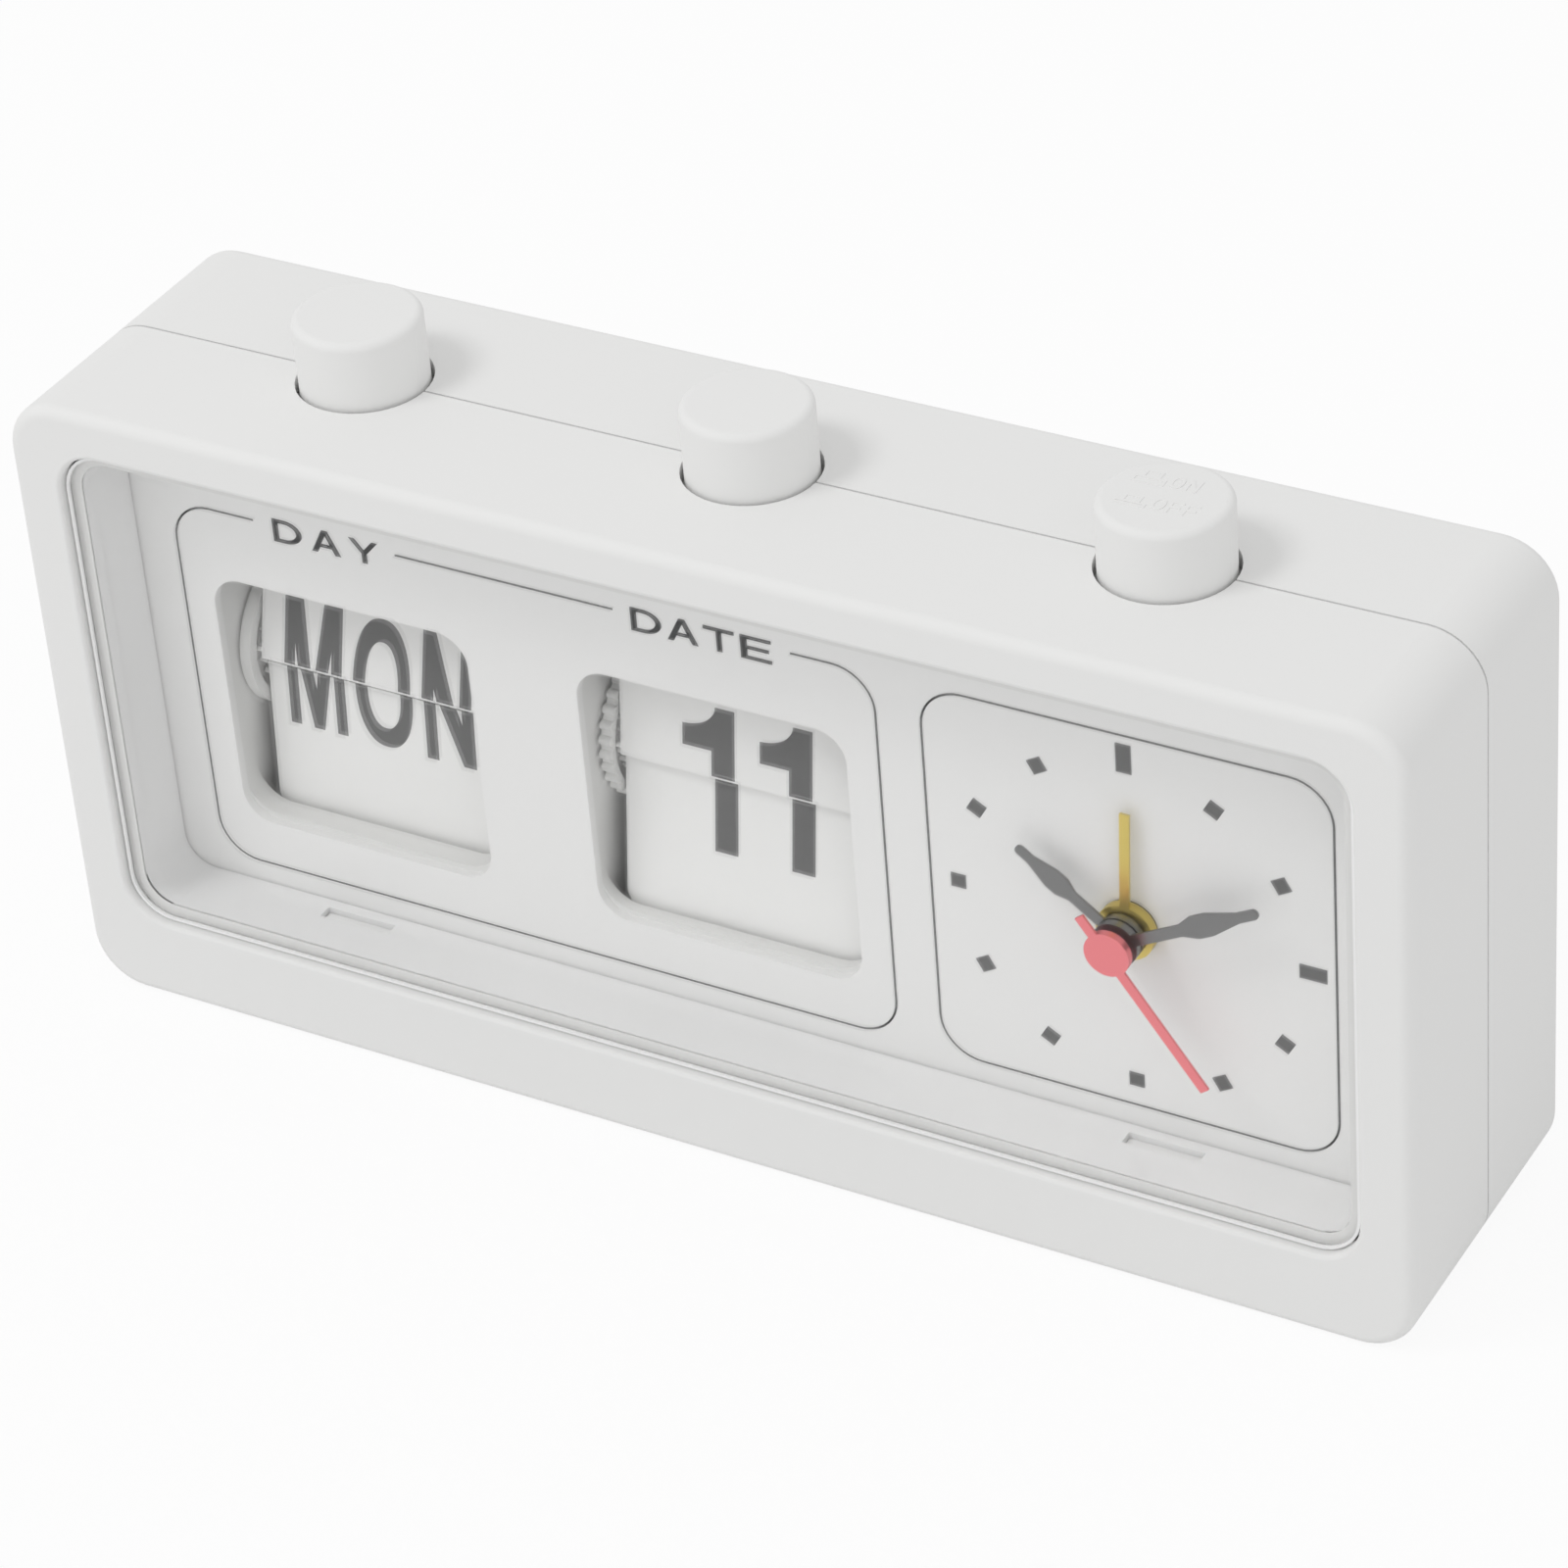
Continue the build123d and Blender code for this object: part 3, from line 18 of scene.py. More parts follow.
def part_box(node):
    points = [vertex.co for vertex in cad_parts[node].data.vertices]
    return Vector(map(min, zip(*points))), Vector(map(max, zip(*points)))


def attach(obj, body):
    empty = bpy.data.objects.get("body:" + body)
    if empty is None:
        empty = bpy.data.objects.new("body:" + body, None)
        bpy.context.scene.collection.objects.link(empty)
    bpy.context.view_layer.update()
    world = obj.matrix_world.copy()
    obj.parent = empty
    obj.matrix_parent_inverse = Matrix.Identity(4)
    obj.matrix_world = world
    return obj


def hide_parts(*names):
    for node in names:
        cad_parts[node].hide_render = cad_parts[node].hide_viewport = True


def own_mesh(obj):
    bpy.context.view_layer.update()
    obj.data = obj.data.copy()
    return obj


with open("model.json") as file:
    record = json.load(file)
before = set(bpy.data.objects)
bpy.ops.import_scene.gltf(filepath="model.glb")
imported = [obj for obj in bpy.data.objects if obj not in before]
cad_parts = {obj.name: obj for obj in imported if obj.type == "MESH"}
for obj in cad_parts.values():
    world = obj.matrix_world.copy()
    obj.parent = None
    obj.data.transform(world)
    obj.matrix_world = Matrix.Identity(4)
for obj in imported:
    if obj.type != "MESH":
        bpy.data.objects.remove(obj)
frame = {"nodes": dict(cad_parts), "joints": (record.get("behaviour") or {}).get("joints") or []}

MM = 0.001
HOURS = 12
# A mark reaches into its surface by its height over this count.
SUNK_PARTS = 5
WHITE = (1.0, 1.0, 1.0)
Point = tuple[float, float, float]
Colour = tuple[float, float, float]
Input = float | Point | bpy.types.NodeSocket
log = logging.getLogger("clock")


def node_box(name: str) -> tuple[np.ndarray, np.ndarray]:
    """Lowest and highest corners of a node of the frame at rest, in millimetres."""
    low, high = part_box(name)
    return np.array(low) / MM, np.array(high) / MM


def pivot(name: str) -> np.ndarray:
    """Point that a joint of the frame turns about, in millimetres."""
    return next(np.array(joint["pos_m"]) / MM for joint in frame["joints"] if joint["name"] == name)


class Grain(Enum):
    """How a finish varies over its surface."""

    MOULDED = "moulded"
    SHELL = "shell"
    SHEET = "sheet"
    PAINT = "paint"
    INK = "ink"
    METAL = "metal"
    WOUND = "wound"
    BOARD = "board"
    JACKET = "jacket"
    CLEAR = "clear"


class Half(Enum):
    """Which half of a printed leaf pair a print is for."""

    UPPER = 1
    LOWER = -1


@dataclass(frozen=True)
class GrainSizes:
    """Numbers that give one grain its scale, in waves a metre, and its depth."""

    cloud_scale: float
    cloud_depth: float
    rough_spread: float
    bump_scale: float
    bump_strength: float
    stretch: Point = (1.0, 1.0, 1.0)


GRAINS: dict[Grain, GrainSizes] = {
    Grain.MOULDED: GrainSizes(38.0, 0.03, 0.05, 2600.0, 0.03),
    Grain.SHELL: GrainSizes(38.0, 0.03, 0.05, 2600.0, 0.03),
    Grain.SHEET: GrainSizes(60.0, 0.03, 0.08, 1800.0, 0.02),
    Grain.PAINT: GrainSizes(220.0, 0.10, 0.08, 5200.0, 0.06),
    Grain.INK: GrainSizes(900.0, 0.12, 0.10, 6000.0, 0.05),
    Grain.METAL: GrainSizes(160.0, 0.14, 0.12, 900.0, 0.05, (1.0, 1.0, 14.0)),
    Grain.WOUND: GrainSizes(400.0, 0.25, 0.10, 700.0, 0.5),
    Grain.BOARD: GrainSizes(240.0, 0.35, 0.10, 1500.0, 0.10),
    Grain.JACKET: GrainSizes(90.0, 0.10, 0.06, 2400.0, 0.02),
    Grain.CLEAR: GrainSizes(30.0, 0.0, 0.01, 90.0, 0.004),
}
# Sockets of a colour mix, then the patterns of the finishes: lengths in millimetres, scales in waves a metre.
MIX_INPUTS = (0, 6, 7)
MIX_OUTPUT = 2
CLOUD_DETAIL = 3.0
GRAIN_DETAIL = 2.0
GRAIN_DEPTH = 0.1
WIRE_BEND = 0.4
TRACK_SCALE = 130.0
TRACK_BEND = 6.0
TRACK_LEVEL = 0.8
TRACK_COLOUR = (0.16, 0.36, 0.16)
BAND_LENGTH = 11.25
BAND_COLOUR = (0.62, 0.36, 0.17)
SEAM_HALF = 0.17
SEAM_MARGIN = 0.02
# Brightness share of the painted shade in the seam where the shells meet.
SEAM_SHADE_SHARE = 0.1
LENS_RIM = 3.1
LENS_SIDE_DEPTH = 0.85
LENS_PLATE_DEPTH = 1.75


@dataclass(frozen=True)
class Shading:
    """Node tree of one material or of the world, to which nodes are added."""

    tree: bpy.types.NodeTree

    def feed(self, socket: bpy.types.NodeSocket, value: Input) -> None:
        """Link a socket to another one, or set its constant.

        Args:
            socket: The socket to feed.
            value: Socket that it is linked to, or its number, vector or colour.
        """
        if isinstance(value, bpy.types.NodeSocket):
            self.tree.links.new(value, socket)
        elif socket.type == "RGBA":
            socket.default_value = (*value, 1.0)
        else:
            socket.default_value = value

    def add(self, kind: str, inputs: dict[str, Input]) -> bpy.types.ShaderNode:
        """Add a node.

        Args:
            kind: Its type.
            inputs: What each of its inputs gets, by name.

        Returns:
            The node.
        """
        node = self.tree.nodes.new(kind)
        for name, value in inputs.items():
            self.feed(node.inputs[name], value)
        return node

    def math(self, operation: str, *values: Input) -> bpy.types.NodeSocket:
        """Work out a sum or a comparison.

        Args:
            operation: Its name.
            values: Its one to three values, in order.

        Returns:
            The socket with the result.
        """
        node = self.tree.nodes.new("ShaderNodeMath")
        node.operation = operation
        for socket, value in zip(node.inputs, values):
            self.feed(socket, value)
        return node.outputs["Value"]

    def between(self, share: Input, first: float, second: float) -> bpy.types.NodeSocket:
        """Number that goes from the first to the second as a share goes from 0 to 1."""
        inputs = {"Value": share, "To Min": first, "To Max": second}
        return self.add("ShaderNodeMapRange", inputs).outputs["Result"]

    def mix(self, share: Input, first: Input, second: Input) -> bpy.types.NodeSocket:
        """Mix two colours.

        Args:
            share: How much of the second colour shows.
            first: Colour, or the socket that gives it.
            second: Colour, or the socket that gives it.

        Returns:
            The socket with the mixed colour.
        """
        node = self.add("ShaderNodeMix", {})
        node.data_type = "RGBA"
        for index, value in zip(MIX_INPUTS, (share, first, second)):
            self.feed(node.inputs[index], value)
        return node.outputs[MIX_OUTPUT]

    def noise(self, place: bpy.types.NodeSocket, scale: float, detail: float) -> bpy.types.NodeSocket:
        """Noise of a scale, in waves a metre, and a count of finer waves on it."""
        inputs = {"Vector": place, "Scale": scale, "Detail": detail}
        return self.add("ShaderNodeTexNoise", inputs).outputs["Fac"]

    def wave(self, place: bpy.types.NodeSocket, scale: float, bend: float) -> bpy.types.NodeSocket:
        """Bands of a scale, in waves a metre, bent by noise."""
        inputs = {"Vector": place, "Scale": scale, "Distortion": bend}
        return self.add("ShaderNodeTexWave", inputs).outputs["Fac"]

    def axes(self, place: bpy.types.NodeSocket) -> bpy.types.NodeOutputs:
        """The three numbers of a point, each in a socket of its own."""
        return self.add("ShaderNodeSeparateXYZ", {"Vector": place}).outputs


@dataclass(frozen=True)
class Finish:
    """One surface finish, made into a node material the first time that it is used."""

    name: str
    slot: str
    colour: Colour
    roughness: float
    grain: Grain
    metallic: float = 0.0
    ior: float = 1.48
    coat: float = 0.0
    coat_roughness: float = 0.12
    transmission: float = 0.0
    alpha: float = 1.0

    def material(self) -> bpy.types.Material:
        """Give the material of this finish.

        Returns:
            A Principled material on Object coordinates: slow clouds tint the colour and the roughness, and a
            fine grain raises the surface.
        """
        found = bpy.data.materials.get(self.name)
        if found is not None:
            return found
        made = bpy.data.materials.new(self.name)
        made.use_nodes = True
        shading, sizes = Shading(made.node_tree), GRAINS[self.grain]
        place = shading.add("ShaderNodeTexCoord", {}).outputs["Object"]
        mapping = shading.add("ShaderNodeMapping", {"Vector": place, "Scale": sizes.stretch})
        stretch = mapping.outputs["Vector"]
        cloud = shading.noise(stretch, sizes.cloud_scale, CLOUD_DETAIL)
        if self.grain is Grain.WOUND:
            grain = shading.wave(stretch, sizes.bump_scale, WIRE_BEND)
        else:
            grain = shading.noise(stretch, sizes.bump_scale, GRAIN_DETAIL)
        bump = {"Strength": sizes.bump_strength, "Distance": GRAIN_DEPTH * MM, "Height": grain}
        half = sizes.rough_spread / 2
        inputs = {
            "Base Color": self._tint(shading, place, cloud),
            "Metallic": self.metallic,
            "Roughness": shading.between(cloud, max(0.0, self.roughness - half), self.roughness + half),
            "IOR": self.ior,
            "Alpha": self.alpha,
            "Normal": shading.add("ShaderNodeBump", bump).outputs["Normal"],
            "Transmission Weight": self.transmission,
            "Coat Weight": self.coat,
            "Coat Roughness": self.coat_roughness,
        }
        shader = made.node_tree.nodes["Principled BSDF"]
        for name, value in inputs.items():
            shading.feed(shader.inputs[name], value)
        if self.grain is Grain.CLEAR:
            self._frost(shading, place, shader)
        return made

    def _shade(self, share: float) -> Colour:
        """The finish's colour at a share of its brightness."""
        red, green, blue = self.colour
        return red * share, green * share, blue * share

    def _tint(self, shading: Shading, place: bpy.types.NodeSocket, cloud: bpy.types.NodeSocket) -> Input:
        """Spread the colour over the surface.

        Args:
            shading: The material's nodes.
            place: Object coordinates.
            cloud: Slow noise.

        Returns:
            The colour, darker in the clouds. The shells get painted shade in the line where they meet, below
            the case's top. The cell's sleeve ends in a metal band, and the board has pale tracks in bent
            bands.
        """
        if self.grain is Grain.CLEAR:
            return self.colour
        tint = shading.mix(cloud, self.colour, self._shade(1.0 - GRAINS[self.grain].cloud_depth))
        # Painted shade: the seam between the shells is nearly black below the case's top.
        if self.grain is Grain.SHELL:
            axes = shading.axes(place)
            top = node_box("front_shell")[1][2] + SEAM_MARGIN
            near = shading.math("LESS_THAN", shading.math("ABSOLUTE", axes["Y"]), SEAM_HALF * MM)
            below = shading.math("LESS_THAN", axes["Z"], top * MM)
            return shading.mix(shading.math("MULTIPLY", near, below), tint, self._shade(SEAM_SHADE_SHARE))
        if self.grain is Grain.JACKET:
            foot = node_box("cell")[1][2] - BAND_LENGTH
            above = shading.math("GREATER_THAN", shading.axes(place)["Z"], foot * MM)
            return shading.mix(above, tint, BAND_COLOUR)
        if self.grain is Grain.BOARD:
            track = shading.math("GREATER_THAN", shading.wave(place, TRACK_SCALE, TRACK_BEND), TRACK_LEVEL)
            return shading.mix(track, tint, TRACK_COLOUR)
        return tint

    def _frost(self, shading: Shading, place: bpy.types.NodeSocket, shader: bpy.types.ShaderNode) -> None:
        """Frost the sides of the lens tray: its front plate stays clear.

        Args:
            shading: The material's nodes.
            place: Object coordinates.
            shader: The Principled shader, whose transmission and alpha step where the sides start.
        """
        low, high = node_box("lens")
        middle, reach = (low + high) / 2, (high - low) / 2 - LENS_RIM
        axes = shading.axes(place)
        inside = shading.math(
            "MULTIPLY",
            shading.math("COMPARE", axes["X"], middle[0] * MM, reach[0] * MM),
            shading.math("COMPARE", axes["Z"], middle[2] * MM, reach[2] * MM),
        )
        edge = shading.math("GREATER_THAN", axes["Y"], (low[1] + LENS_SIDE_DEPTH) * MM)
        behind = shading.math("GREATER_THAN", axes["Y"], (low[1] + LENS_PLATE_DEPTH) * MM)
        frosted = shading.math("MAXIMUM", behind, shading.math("SUBTRACT", edge, inside))
        shading.feed(shader.inputs["Transmission Weight"], shading.between(frosted, self.transmission, 0.0))
        shading.feed(shader.inputs["Alpha"], shading.between(frosted, self.alpha, 1.0))


CASE_WHITE = Finish("case_white", "case_white", (0.80, 0.80, 0.798), 0.12, Grain.SHELL)
DIAL_WHITE = Finish("dial_white", "dial_white", (0.80, 0.80, 0.797), 0.42, Grain.SHEET)
LEAF_WHITE = Finish("leaf_white", "leaf_white", (0.77, 0.77, 0.766), 0.36, Grain.SHEET)
INNER_WHITE = Finish("inner_white", "inner_white", (0.71, 0.71, 0.706), 0.45, Grain.MOULDED)
INNER_BLACK = Finish("inner_black", "inner_black", (0.03, 0.03, 0.031), 0.42, Grain.MOULDED)
CLEAR = Finish(
    "lens_clear", "clear", (0.86, 0.86, 0.858), 0.01, Grain.CLEAR,
    ior=1.02, coat=1.0, coat_roughness=0.03, transmission=1.0, alpha=0.15,
)
# Painted highlight: a white line on the lens's outer edge that stands in for light caught by the edge.
LENS_HIGHLIGHT_PAINT = Finish("lens_rim_painted_highlight", "clear", (0.96, 0.96, 0.96), 0.1, Grain.MOULDED)
STEEL = Finish("bright_steel", "steel", (0.62, 0.62, 0.61), 0.28, Grain.METAL, metallic=1.0)
BRASS = Finish("satin_brass", "brass", (0.72, 0.55, 0.26), 0.3, Grain.METAL, metallic=1.0)
COPPER = Finish("coil_wire", "copper", (0.60, 0.26, 0.11), 0.3, Grain.WOUND, metallic=1.0)
BOARD = Finish("circuit_board", "board", (0.05, 0.2, 0.08), 0.45, Grain.BOARD)
SLEEVE = Finish("cell_sleeve", "cell_jacket", (0.06, 0.07, 0.085), 0.25, Grain.JACKET, coat=0.3)
HAND_GREY = Finish("hand_grey", "hand_grey", (0.15, 0.15, 0.152), 0.35, Grain.PAINT)
HAND_RED = Finish("hand_red", "hand_red", (0.82, 0.17, 0.20), 0.35, Grain.PAINT)
HAND_YELLOW = Finish("hand_yellow", "hand_yellow", (0.66, 0.50, 0.13), 0.35, Grain.PAINT)
PRINT_GREY = Finish("print_grey", "hand_grey", (0.15, 0.15, 0.15), 0.5, Grain.INK)
PRINT_BLACK = Finish("print_black", "inner_black", (0.035, 0.035, 0.036), 0.5, Grain.INK)


@dataclass(frozen=True)
class Placement:
    """Flat frame in space, in millimetres, that outlines are laid on. Its normal is right crossed with up."""

    origin: Point
    right: Point
    up: Point

    @property
    def normal(self) -> np.ndarray:
        """Direction out of the surface."""
        return np.cross(self.right, self.up)

    def at(self, outline: np.ndarray, height: float) -> np.ndarray:
        """Lay an outline on the frame.

        Args:
            outline: Points of two numbers, along right and up.
            height: Distance along the normal.

        Returns:
            Points of three numbers, in millimetres: origin plus right times x, up times y and normal times
            height.
        """
        flat = outline[:, :1] * np.array(self.right) + outline[:, 1:] * np.array(self.up)
        return np.array(self.origin) + flat + height * self.normal


@dataclass
class Solid:
    """Closed skin: points in millimetres, and arrays of faces, each array with one count of corners."""

    points: np.ndarray
    faces: list[np.ndarray]

    @staticmethod
    def joined(solids: list["Solid"]) -> "Solid":
        """Put several skins into one, without welding them.

        Args:
            solids: The skins.

        Returns:
            One skin with all their points and faces.
        """
        starts = np.cumsum([0] + [len(solid.points) for solid in solids])
        faces = [face + start for solid, start in zip(solids, starts) for face in solid.faces]
        return Solid(np.concatenate([solid.points for solid in solids]), faces)

    def mesh(self, name: str) -> bpy.types.Mesh:
        """Write the skin to a mesh in metres, with every face turned outwards.

        Args:
            name: Name of the mesh.

        Returns:
            The mesh.
        """
        made = bpy.data.meshes.new(name)
        faces = [row for face in self.faces for row in face.tolist()]
        made.from_pydata((self.points * MM).tolist(), [], faces)
        skin = bmesh.new()
        skin.from_mesh(made)
        bmesh.ops.recalc_face_normals(skin, faces=skin.faces)
        skin.to_mesh(made)
        skin.free()
        return made


def prism(outline: np.ndarray, place: Placement, low: float, high: float) -> Solid:
    """Outline carried straight along the placement's normal, with a flat face at each end.

    Args:
        outline: Corner points of a flat shape without holes, in order.
        place: Frame that the outline lies on.
        low: Height where it starts.
        high: Height where it ends.

    Returns:
        The closed slab: corner i at end j is the outline's point i at height low or high.
    """
    count = len(outline)
    turn = np.arange(count)
    ahead = np.roll(turn, -1)
    sides = np.stack([turn, ahead, ahead + count, turn + count], axis=1)
    ends = np.stack([turn[::-1], turn + count])
    return Solid(np.concatenate([place.at(outline, low), place.at(outline, high)]), [sides, ends])


def band(
    outer: np.ndarray, inner: np.ndarray, place: Placement, low: float, high: float, closed: bool
) -> Solid:
    """Four-cornered profile carried along two rails.

    Args:
        outer: Points of one rail.
        inner: Points of the other rail, as many.
        place: Frame that the rails lie on.
        low: Height of the lower face.
        high: Height of the upper face.
        closed: Whether the rails close into a ring; if not, each end gets a face.

    Returns:
        The closed band: at step i its corners are the two rails' points i at the two heights.
    """
    count = len(outer)
    rails = ((outer, high), (outer, low), (inner, low), (inner, high))
    corners = np.concatenate([place.at(rail, height) for rail, height in rails])
    index = np.arange(4 * count).reshape(4, count)
    ahead = np.roll(index, -1, axis=1)
    beside = np.roll(index, -1, axis=0)
    grid = np.stack([index, ahead, np.roll(ahead, -1, axis=0), beside], axis=2)
    if closed:
        return Solid(corners, [grid.reshape(-1, 4)])
    ends = np.stack([index[:, 0], index[::-1, -1]])
    return Solid(corners, [grid[:, :-1].reshape(-1, 4), ends])


def line(
    path: np.ndarray, width: float, place: Placement, low: float, high: float, closed: bool = False
) -> Solid:
    """Line of even width along a path.

    Args:
        path: Points of its middle.
        width: Width of the line.
        place: Frame that the path lies on.
        low: Height of the lower face.
        high: Height of the upper face.
        closed: Whether the path closes.

    Returns:
        A band whose rails are the path moved half a width to each side, square to its direction, and further
        at bends by one over the cosine of half the bend.
    """
    steps = (np.roll(path, -1, axis=0) - path) if closed else np.diff(path, axis=0)
    steps = steps / np.linalg.norm(steps, axis=1, keepdims=True)
    before = np.roll(steps, 1, axis=0) if closed else np.vstack([steps[:1], steps])
    after = steps if closed else np.vstack([steps, steps[-1:]])
    along = before + after
    along = along / np.linalg.norm(along, axis=1, keepdims=True)
    reach = width / 2 / np.sum(along * after, axis=1, keepdims=True)
    side = np.stack([-along[:, 1], along[:, 0]], axis=1) * reach
    return band(path + side, path - side, place, low, high, closed)


def coil(
    centre: Point, radius: float, wire: float, height: float, turns: int, sides: int = 8, steps: int = 24
) -> Solid:
    """Wire wound up a straight axis.

    Args:
        centre: Middle of its lower end.
        radius: Radius of the winding, to the middle of the wire.
        wire: Radius of the wire.
        height: Height between its outer ends.
        turns: Count of turns.
        sides: Count of points round the wire.
        steps: Count of rings in a turn.

    Returns:
        The closed tube: its middle climbs evenly as it goes round, and each ring is wire times cosine
        outwards and sine upwards.
    """
    rings = steps * turns + 1
    share = np.linspace(0, 1, rings)
    turn = 2 * np.pi * turns * share
    out = np.stack([np.cos(turn), np.sin(turn), np.zeros(rings)], axis=1)
    middle = np.array(centre) + radius * out
    middle[:, 2] += wire + (height - 2 * wire) * share
    bend = 2 * np.pi * np.arange(sides) / sides
    up = np.array([0.0, 0.0, 1.0])
    around = np.cos(bend)[None, :, None] * out[:, None] + np.sin(bend)[None, :, None] * up
    index = np.arange(rings * sides).reshape(rings, sides)
    beside = np.roll(index, -1, axis=1)
    skin = np.stack([index[:-1], beside[:-1], beside[1:], index[1:]], axis=2).reshape(-1, 4)
    ends = np.stack([index[0, ::-1], index[-1]])
    return Solid((middle[:, None] + wire * around).reshape(-1, 3), [skin, ends])


def arc(centre: tuple[float, float], radius: float, start: float, end: float, count: int = 10) -> np.ndarray:
    """Points on a circle, from one angle to another.

    Args:
        centre: Middle of the circle.
        radius: Its radius.
        start: First angle in degrees, from the first axis.
        end: Last angle in degrees.
        count: How many points.

    Returns:
        Centre plus radius times cosine and sine of the evenly spaced angles.
    """
    angle = np.radians(np.linspace(start, end, count))
    return np.stack([centre[0] + radius * np.cos(angle), centre[1] + radius * np.sin(angle)], axis=1)


def round_box(x_span: tuple[float, float], y_span: tuple[float, float], bend: float) -> np.ndarray:
    """Rectangle with round corners, clockwise from its top right one.

    Args:
        x_span: Its left and right edges.
        y_span: Its lower and upper edges.
        bend: Radius of its corners.

    Returns:
        Points of its four corner arcs, with straight runs between them.
    """
    left, right = x_span[0] + bend, x_span[1] - bend
    low, high = y_span[0] + bend, y_span[1] - bend
    return np.vstack(
        [
            arc((right, high), bend, 90, 0),
            arc((right, low), bend, 0, -90),
            arc((left, low), bend, -90, -180),
            arc((left, high), bend, 180, 90),
        ]
    )


def oval(half_x: float, half_y: float, power: float, count: int = 48) -> np.ndarray:
    """Superellipse about the middle of the unit box.

    Args:
        half_x: Half of its width.
        half_y: Half of its height.
        power: Its power: 2 is an ellipse, and more is squarer.
        count: How many points.

    Returns:
        Points whose two numbers are the signed powers of a cosine and a sine, times the halves.
    """
    angle = np.linspace(0, 2 * np.pi, count, endpoint=False)
    wave = np.stack([np.cos(angle), np.sin(angle)], axis=1)
    return 0.5 + np.sign(wave) * np.abs(wave) ** (2 / power) * np.array([half_x, half_y])


@dataclass(frozen=True)
class Letter:
    """Letter or figure in a box one wide and one high: filled outlines, and rings of two rails."""

    outlines: tuple[np.ndarray, ...] = ()
    rings: tuple[tuple[np.ndarray, np.ndarray], ...] = ()

    def solid(
        self, place: Placement, left: float, foot: float, size: tuple[float, float], depth: float
    ) -> Solid:
        """Build the letter on a frame.

        Args:
            place: Frame that it stands on.
            left: Its left edge, along right.
            foot: Its foot, along up.
            size: Its width and height.
            depth: How far it stands up from the surface; it is also sunk by that over SUNK_PARTS.

        Returns:
            The skin of all its outlines and rings, each scaled by size and moved to left and foot.
        """
        move, scale = np.array([left, foot]), np.array(size)
        low = -depth / SUNK_PARTS
        made = [prism(move + outline * scale, place, low, depth) for outline in self.outlines]
        for outer, inner in self.rings:
            made.append(band(move + outer * scale, move + inner * scale, place, low, depth, True))
        return Solid.joined(made)


def shape(*corners: tuple[float, float]) -> np.ndarray:
    """Corner points as an array."""
    return np.array(corners)


def bow(reach: float) -> np.ndarray:
    """Round side of the letter D: half a circle of a reach, made a fifth wider."""
    return arc((0.4, 0.5), reach, -90, 90, 24) * (1.2, 1) - (0.08, 0)


# The flag of the figure one is a quarter of an ellipse, hollow to the upper left.
FLAG = arc((0, 0), 1, 0, -90, 12) * (0.63, 0.158) + (0, 1)
LETTERS: dict[str, Letter] = {
    "1": Letter((np.vstack([shape((0.555, 0), (1, 0), (1, 1)), FLAG, shape((0, 0.69), (0.555, 0.69))]),)),
    "M": Letter(
        (
            shape(
                (0, 0), (0, 1), (0.32, 1), (0.5, 0.35), (0.68, 1), (1, 1), (1, 0),
                (0.82, 0), (0.82, 0.68), (0.59, 0), (0.41, 0), (0.18, 0.68), (0.18, 0),
            ),
        )
    ),
    "N": Letter(
        (
            shape(
                (0, 0), (0, 1), (0.26, 1), (0.765, 0.365), (0.765, 1),
                (1, 1), (1, 0), (0.745, 0), (0.235, 0.6), (0.235, 0),
            ),
        )
    ),
    "O": Letter(rings=((oval(0.5, 0.5, 2.3), oval(0.29, 0.335, 2.3)),)),
    "D": Letter(
        rings=(
            (
                np.vstack([shape((0, 0)), bow(0.5), shape((0, 1))]),
                np.vstack([shape((0.2, 0.16)), bow(0.34), shape((0.2, 0.84))]),
            ),
        )
    ),
    "A": Letter(
        (
            shape((0, 0), (0.40, 1), (0.60, 1), (1, 0), (0.80, 0), (0.5, 0.78), (0.20, 0)),
            shape((0.296, 0.25), (0.704, 0.25), (0.646, 0.40), (0.354, 0.40)),
        )
    ),
    "Y": Letter(
        (
            shape(
                (0.41, 0), (0.59, 0), (0.59, 0.42), (1, 1), (0.80, 1),
                (0.5, 0.57), (0.20, 1), (0, 1), (0.41, 0.42),
            ),
        )
    ),
    "T": Letter(
        (shape((0.41, 0), (0.59, 0), (0.59, 0.84), (1, 0.84), (1, 1), (0, 1), (0, 0.84), (0.41, 0.84)),)
    ),
    "E": Letter(
        (
            shape(
                (0, 0), (1, 0), (1, 0.15), (0.22, 0.15), (0.22, 0.43), (0.92, 0.43),
                (0.92, 0.58), (0.22, 0.58), (0.22, 0.85), (1, 0.85), (1, 1), (0, 1),
            ),
        )
    ),
    "F": Letter(
        (
            shape(
                (0, 0), (0.22, 0), (0.22, 0.43), (0.92, 0.43), (0.92, 0.58),
                (0.22, 0.58), (0.22, 0.85), (1, 0.85), (1, 1), (0, 1),
            ),
        )
    ),
}


def piece(name: str, solid: Solid, body: str, finish: Finish) -> bpy.types.Object:
    """Make one new piece of the clock.

    Args:
        name: Name of the piece.
        solid: Its skin.
        body: Body of the frame that it rides on.
        finish: Its finish.

    Returns:
        The object, at the origin, riding on its body.
    """
    made = bpy.data.objects.new(name, solid.mesh(name))
    bpy.context.scene.collection.objects.link(made)
    made.data.materials.append(finish.material())
    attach(made, body)
    log.info("built %s on %s", name, body)
    return made


def dress(finish: Finish, *names: str) -> None:
    """Give nodes of the frame a finish.

    Args:
        finish: The finish.
        names: Names of the nodes.
    """
    for name in names:
        for slot in frame["nodes"][name].material_slots:
            slot.material = finish.material()
        log.info("dressed %s in %s", name, finish.name)


